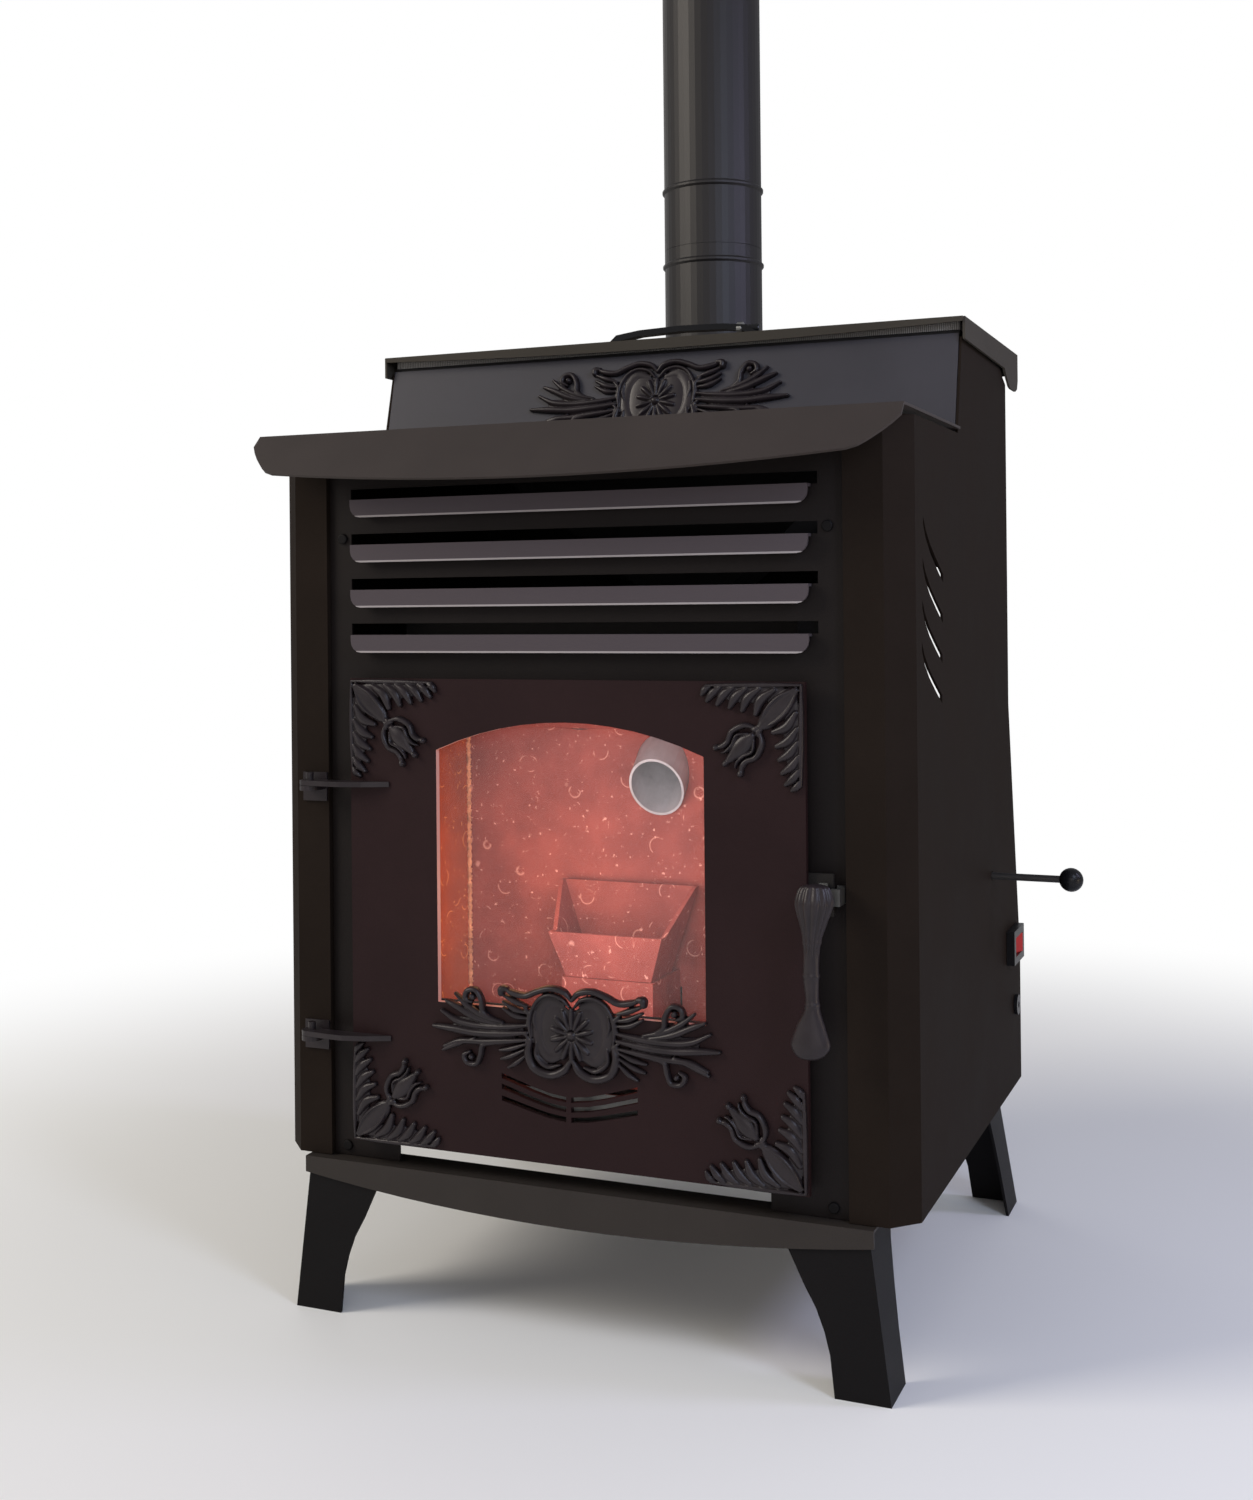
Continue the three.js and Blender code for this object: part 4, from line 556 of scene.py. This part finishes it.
CORNER_MIDDLE = [
    [(6, 6, 2.5, 4), (16, 16, 8.0, 4.6), (26, 26, 7.0, 4.4), (32, 32, 3.0, 4.2)],
    [(39, 39, 3.0, 4.6), (46, 46, 7.0, 5.8), (53, 53, 4.2, 5.0), (58, 58, 1.8, 4.4)],
    [(58.5, 58.5, 2.2, 5.2), (59.5, 59.5, 2.2, 5.2)],
]


def put(points, origin, u_axis, v_axis, h_axis):
    """Relief points (u, v, height) in millimetres laid on a surface, in the shared frame."""
    axes = np.array([u_axis, v_axis, h_axis], float)
    rows = np.array(origin, float) + points @ axes
    return [at(*row) for row in rows]


def turned_over(faces):
    return [face[::-1] for face in faces]


def casting(name, points, faces, body, node):
    piece = add_mesh(name, points, faces, mats["cast"], body)
    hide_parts(node)


FACE_Y = -28.3  # the castings' backs, sunk 0.3 into the door's face
SINK = 0.3
DOOR_HALF, DOOR_LOW, DOOR_HIGH = 187, 141, 506
HOPPER_SLOPE, HOPPER_FOOT_Y, HOPPER_FOOT_Z = 0.2367, 150.5, 698
HOPPER_SCROLL_Z = 737


def add_scrolls():
    points, faces = relief(mirror_strokes(SCROLL_HALF) + ROSETTE)
    casting("door_scroll", put(points, (4, FACE_Y, 242), (1, 0, 0), (0, 0, 1), (0, -1, 0)),
            faces, "door", "door_ornament")
    lean = math.atan(HOPPER_SLOPE)
    sin, cos = math.sin(lean), math.cos(lean)
    face_y = HOPPER_FOOT_Y + (HOPPER_SCROLL_Z - HOPPER_FOOT_Z) * HOPPER_SLOPE
    origin = (2, face_y - SINK * cos, HOPPER_SCROLL_Z + SINK * sin)
    casting("hopper_scroll", put(points, origin, (1, 0, 0), (0, sin, cos), (0, -cos, sin)),
            faces, "stove", "hopper_ornament")


def add_corners():
    points, faces = relief(swap_strokes(CORNER_HALF) + CORNER_MIDDLE)
    for side, sx in (("left", -1), ("right", 1)):
        for row, sz, base_z in (("lower", 1, DOOR_LOW), ("upper", -1, DOOR_HIGH)):
            origin = (sx * DOOR_HALF, FACE_Y, base_z)
            casting(f"corner_{row}_{side}_cast",
                    put(points, origin, (-sx, 0, 0), (0, 0, sz), (0, -1, 0)),
                    faces if sx * sz < 0 else turned_over(faces),
                    "door", f"corner_ornament_{row}_{side}")


add_scrolls()
add_corners()

# The handle, as rows of z, left, right, front and rear: a fluted head over a slim grip with three
# faint collars, and a bell-shaped foot.
HANDLE_ROWS = [
    (366, 195, 204, -54, -43), (365, 190, 208.5, -56, -41.5), (362, 187, 211, -57.3, -41),
    (354, 185, 213, -60, -40), (346, 186.4, 210.6, -59.4, -40.8), (338, 188.7, 207.5, -58, -42),
    (324, 191, 203, -56, -44), (303, 190.5, 202, -55, -45), (283, 192, 202, -55, -45),
    (268, 185.5, 206, -56, -44), (256, 181.5, 209.7, -57, -44), (250, 183, 207.5, -56.6, -44.4),
    (246.5, 186, 203.5, -55.4, -46), (245, 190, 199.5, -53, -48),
]
HANDLE_SIDES, FLUTES = 72, 12
FLUTE_DEPTH = 0.16
COLLARS = (326, 303, 283)
COLLAR_RISE, COLLAR_WIDTH = 0.55, 1.6


def ring_faces(rings, sides):
    """Walls between rings of points that follow one another, then the first and last caps."""
    faces = []
    for ring in range(rings - 1):
        for i in range(sides):
            a, b = ring * sides + i, ring * sides + (i + 1) % sides
            faces.append((a, b, b + sides, a + sides))
    faces.append(tuple(range(sides - 1, -1, -1)))
    faces.append(tuple(range((rings - 1) * sides, rings * sides)))
    return faces


def add_handle():
    rows = spline(HANDLE_ROWS, 0.8)
    verts = []
    for z, x0, x1, y0, y1 in rows:
        fluted = min(1.0, max(0.0, (z - 312) / 10)) * min(1.0, max(0.0, (367.5 - z) / 4))
        collar = sum(COLLAR_RISE * math.exp(-((z - c) / COLLAR_WIDTH) ** 2) for c in COLLARS)
        for i in range(HANDLE_SIDES):
            angle = 2 * math.pi * i / HANDLE_SIDES
            ridge = abs(math.sin(FLUTES / 2 * angle)) ** 0.7
            scale = 1 - FLUTE_DEPTH * fluted * (1 - ridge)
            rx, ry = (x1 - x0) / 2 * scale + collar, (y1 - y0) / 2 * scale + collar
            verts.append(at((x0 + x1) / 2 + rx * math.cos(angle),
                            (y0 + y1) / 2 + ry * math.sin(angle), z))
    faces = turned_over(ring_faces(len(rows), HANDLE_SIDES))
    casting("handle_casting", verts, faces, "handle", "door_handle")


add_handle()

ROUND_SIDES = 24


def round_piece(name, start, end, radius, rim, mat, body):
    """A short turned piece between two points in the building frame; rim rounds its far end."""
    axis = at(*end) - at(*start)
    length = axis.length
    axis.normalize()
    side_a = axis.orthogonal().normalized()
    side_b = axis.cross(side_a)
    rings = [(0.0, radius), (length - rim, radius)]
    rings += [(length - rim + rim * math.sin(t), radius - rim + rim * math.cos(t))
              for t in (math.pi / 8 * k for k in range(1, 5))]
    verts = []
    for along, out in rings:
        for i in range(ROUND_SIDES):
            angle = 2 * math.pi * i / ROUND_SIDES
            outward = side_a * math.cos(angle) + side_b * math.sin(angle)
            verts.append(at(*start) + axis * along + outward * out)
    faces = ring_faces(len(rings), ROUND_SIDES)
    add_mesh(name, verts, faces, mat, body, smooth=False)


for side, x in (("left", -201), ("right", 201)):
    for row, z in (("upper", 617), ("lower", 131)):
        round_piece(f"screw_{row}_{side}", (x, -13.9, z), (x, -16.2, z), 0.0042, 0.0012,
                    mats["leg"], "stove")

# The lid handle's right end: a bright collar and the dark bolt through it.
GRIP_Y, GRIP_Z = 230.0, 803.4
round_piece("lid_handle_collar", (52, GRIP_Y, GRIP_Z), (57, GRIP_Y, GRIP_Z), 0.0062, 0.001,
            mats["steel"], "lid")
round_piece("lid_handle_bolt", (57.1, GRIP_Y, GRIP_Z - 0.4), (72, GRIP_Y, GRIP_Z - 0.4), 0.0040,
            0.001, mats["plastic"], "lid")

WELD_X, WELD_Y, WELD_LOW, WELD_HIGH = -161.5, 122.2, 206, 455
WELD_SIDES = 10


def add_weld():
    """A rough weld down the firebox's rear left corner."""
    verts = []
    rings = 0
    z = WELD_LOW
    while z < WELD_HIGH:
        spread = 1.9 + 0.9 * math.sin(rings * 2.399) * math.sin(rings * 1.117)
        drift = 0.5 * math.sin(rings * 3.7)
        for i in range(WELD_SIDES):
            angle = 2 * math.pi * i / WELD_SIDES
            verts.append(at(WELD_X + drift + spread * math.cos(angle),
                            WELD_Y + spread * math.sin(angle), z))
        z += 1.3 + 0.5 * math.sin(rings * 1.9)
        rings += 1
    add_mesh("corner_weld", verts, ring_faces(rings, WELD_SIDES), mats["weld"], "stove")


add_weld()


# ------------------------------------------------------------------ studio
# Name, place, target, size, power and colour of each lamp, in the shared frame's metres.
LAMPS = [
    ("key", (-2.2, -1.7, 2.1), (0, 0, 0.5), (1.2, 1.6), 60, (1.0, 0.93, 0.82)),
    ("side", (1.05, -0.85, 1.15), (0.25, -0.1, 0.75), (0.30, 0.6), 7.5, (0.66, 0.76, 1.0)),
    ("side_high", (1.5, 0.15, 1.25), (0.25, 0.1, 0.75), (0.3, 0.3), 7.0, (0.66, 0.66, 1.0)),
    ("low_right", (1.6, -0.2, 0.25), (0.3, 0.1, 0.25), (0.5, 0.4), 2.4, (1.0, 0.78, 0.52)),
    ("rear_left", (-1.8, 1.5, 1.5), (0, 0.2, 0.8), (1.0, 1.4), 2.5, (1.0, 0.97, 0.92)),
    ("front_fill", (0.8, -3.0, 0.9), (0, 0, 0.4), (1.6, 1.2), 10, (1.0, 0.93, 0.93)),
    # Firelight, as an even red wash from behind the glass.
    ("fire_wash", at(10, -8, 362), at(10, 120, 362), (0.22, 0.26), 0.34, (1.0, 0.78, 0.78)),
]


def add_light(name, kind, place, power, colour):
    data = bpy.data.lights.new(name, kind)
    data.energy = power
    data.color = colour
    lamp = bpy.data.objects.new(name, data)
    bpy.context.scene.collection.objects.link(lamp)
    lamp.location = place
    return lamp


for name, place, target, size, power, colour in LAMPS:
    lamp = add_light(name, "AREA", place, power, colour)
    lamp.data.shape = "RECTANGLE"
    lamp.data.size, lamp.data.size_y = size
    aim = Vector(target) - Vector(place)
    lamp.rotation_euler = aim.to_track_quat("-Z", "Y").to_euler()

# An orange glow over the pot's left side.
glow = add_light("fire_glow", "POINT", at(-80, 45, 330), 0.11, (1.0, 0.50, 0.20))
glow.data.shadow_soft_size = 0.03


def add_world():
    """Soft pale light all round, behind a background that the camera sees as white."""
    world = bpy.data.worlds.new("studio")
    bpy.context.scene.world = world
    world.use_nodes = True
    tree = world.node_tree
    ambient = tree.nodes["Background"]
    ambient.inputs["Color"].default_value = (0.95, 0.96, 1.0, 1)
    ambient.inputs["Strength"].default_value = 0.36
    white = tree.nodes.new("ShaderNodeBackground")
    white.inputs["Color"].default_value = (1, 1, 1, 1)
    white.inputs["Strength"].default_value = 1.0
    path = tree.nodes.new("ShaderNodeLightPath")
    blend = tree.nodes.new("ShaderNodeMixShader")
    tree.links.new(path.outputs["Is Camera Ray"], blend.inputs["Fac"])
    tree.links.new(ambient.outputs["Background"], blend.inputs[1])
    tree.links.new(white.outputs["Background"], blend.inputs[2])
    tree.links.new(blend.outputs["Shader"], tree.nodes["World Output"].inputs["Surface"])


FADE_FROM, FADE_TO = 0.55, 1.55  # distances from the origin, in metres


def floor_material():
    """Pale floor that the camera sees run into the white background away from the stove."""
    mat, tree, shader = new_material("pale_floor")
    shader.inputs["Base Color"].default_value = (0.86, 0.86, 0.85, 1)
    shader.inputs["Roughness"].default_value = 0.7
    spot = tree.nodes.new("ShaderNodeNewGeometry")
    distance = tree.nodes.new("ShaderNodeVectorMath")
    distance.operation = "LENGTH"
    tree.links.new(spot.outputs["Position"], distance.inputs[0])
    fade = tree.nodes.new("ShaderNodeMapRange")
    fade.interpolation_type = "SMOOTHSTEP"
    fade.inputs["From Min"].default_value = FADE_FROM
    fade.inputs["From Max"].default_value = FADE_TO
    tree.links.new(distance.outputs["Value"], fade.inputs["Value"])
    path = tree.nodes.new("ShaderNodeLightPath")
    seen_fade = tree.nodes.new("ShaderNodeMath")
    seen_fade.operation = "MULTIPLY"
    tree.links.new(fade.outputs["Result"], seen_fade.inputs[0])
    tree.links.new(path.outputs["Is Camera Ray"], seen_fade.inputs[1])
    white = tree.nodes.new("ShaderNodeEmission")
    white.inputs["Color"].default_value = (1, 1, 1, 1)
    sweep = tree.nodes.new("ShaderNodeMixShader")
    tree.links.new(seen_fade.outputs["Value"], sweep.inputs["Fac"])
    tree.links.new(shader.outputs["BSDF"], sweep.inputs[1])
    tree.links.new(white.outputs["Emission"], sweep.inputs[2])
    tree.links.new(sweep.outputs["Shader"], tree.nodes["Material Output"].inputs["Surface"])
    return mat


add_world()
bpy.ops.mesh.primitive_plane_add(size=14, location=(0, 2, 0))
floor = bpy.context.object
floor.name = "floor"
floor.data.materials.append(floor_material())

bpy.context.scene.view_settings.view_transform = "Standard"
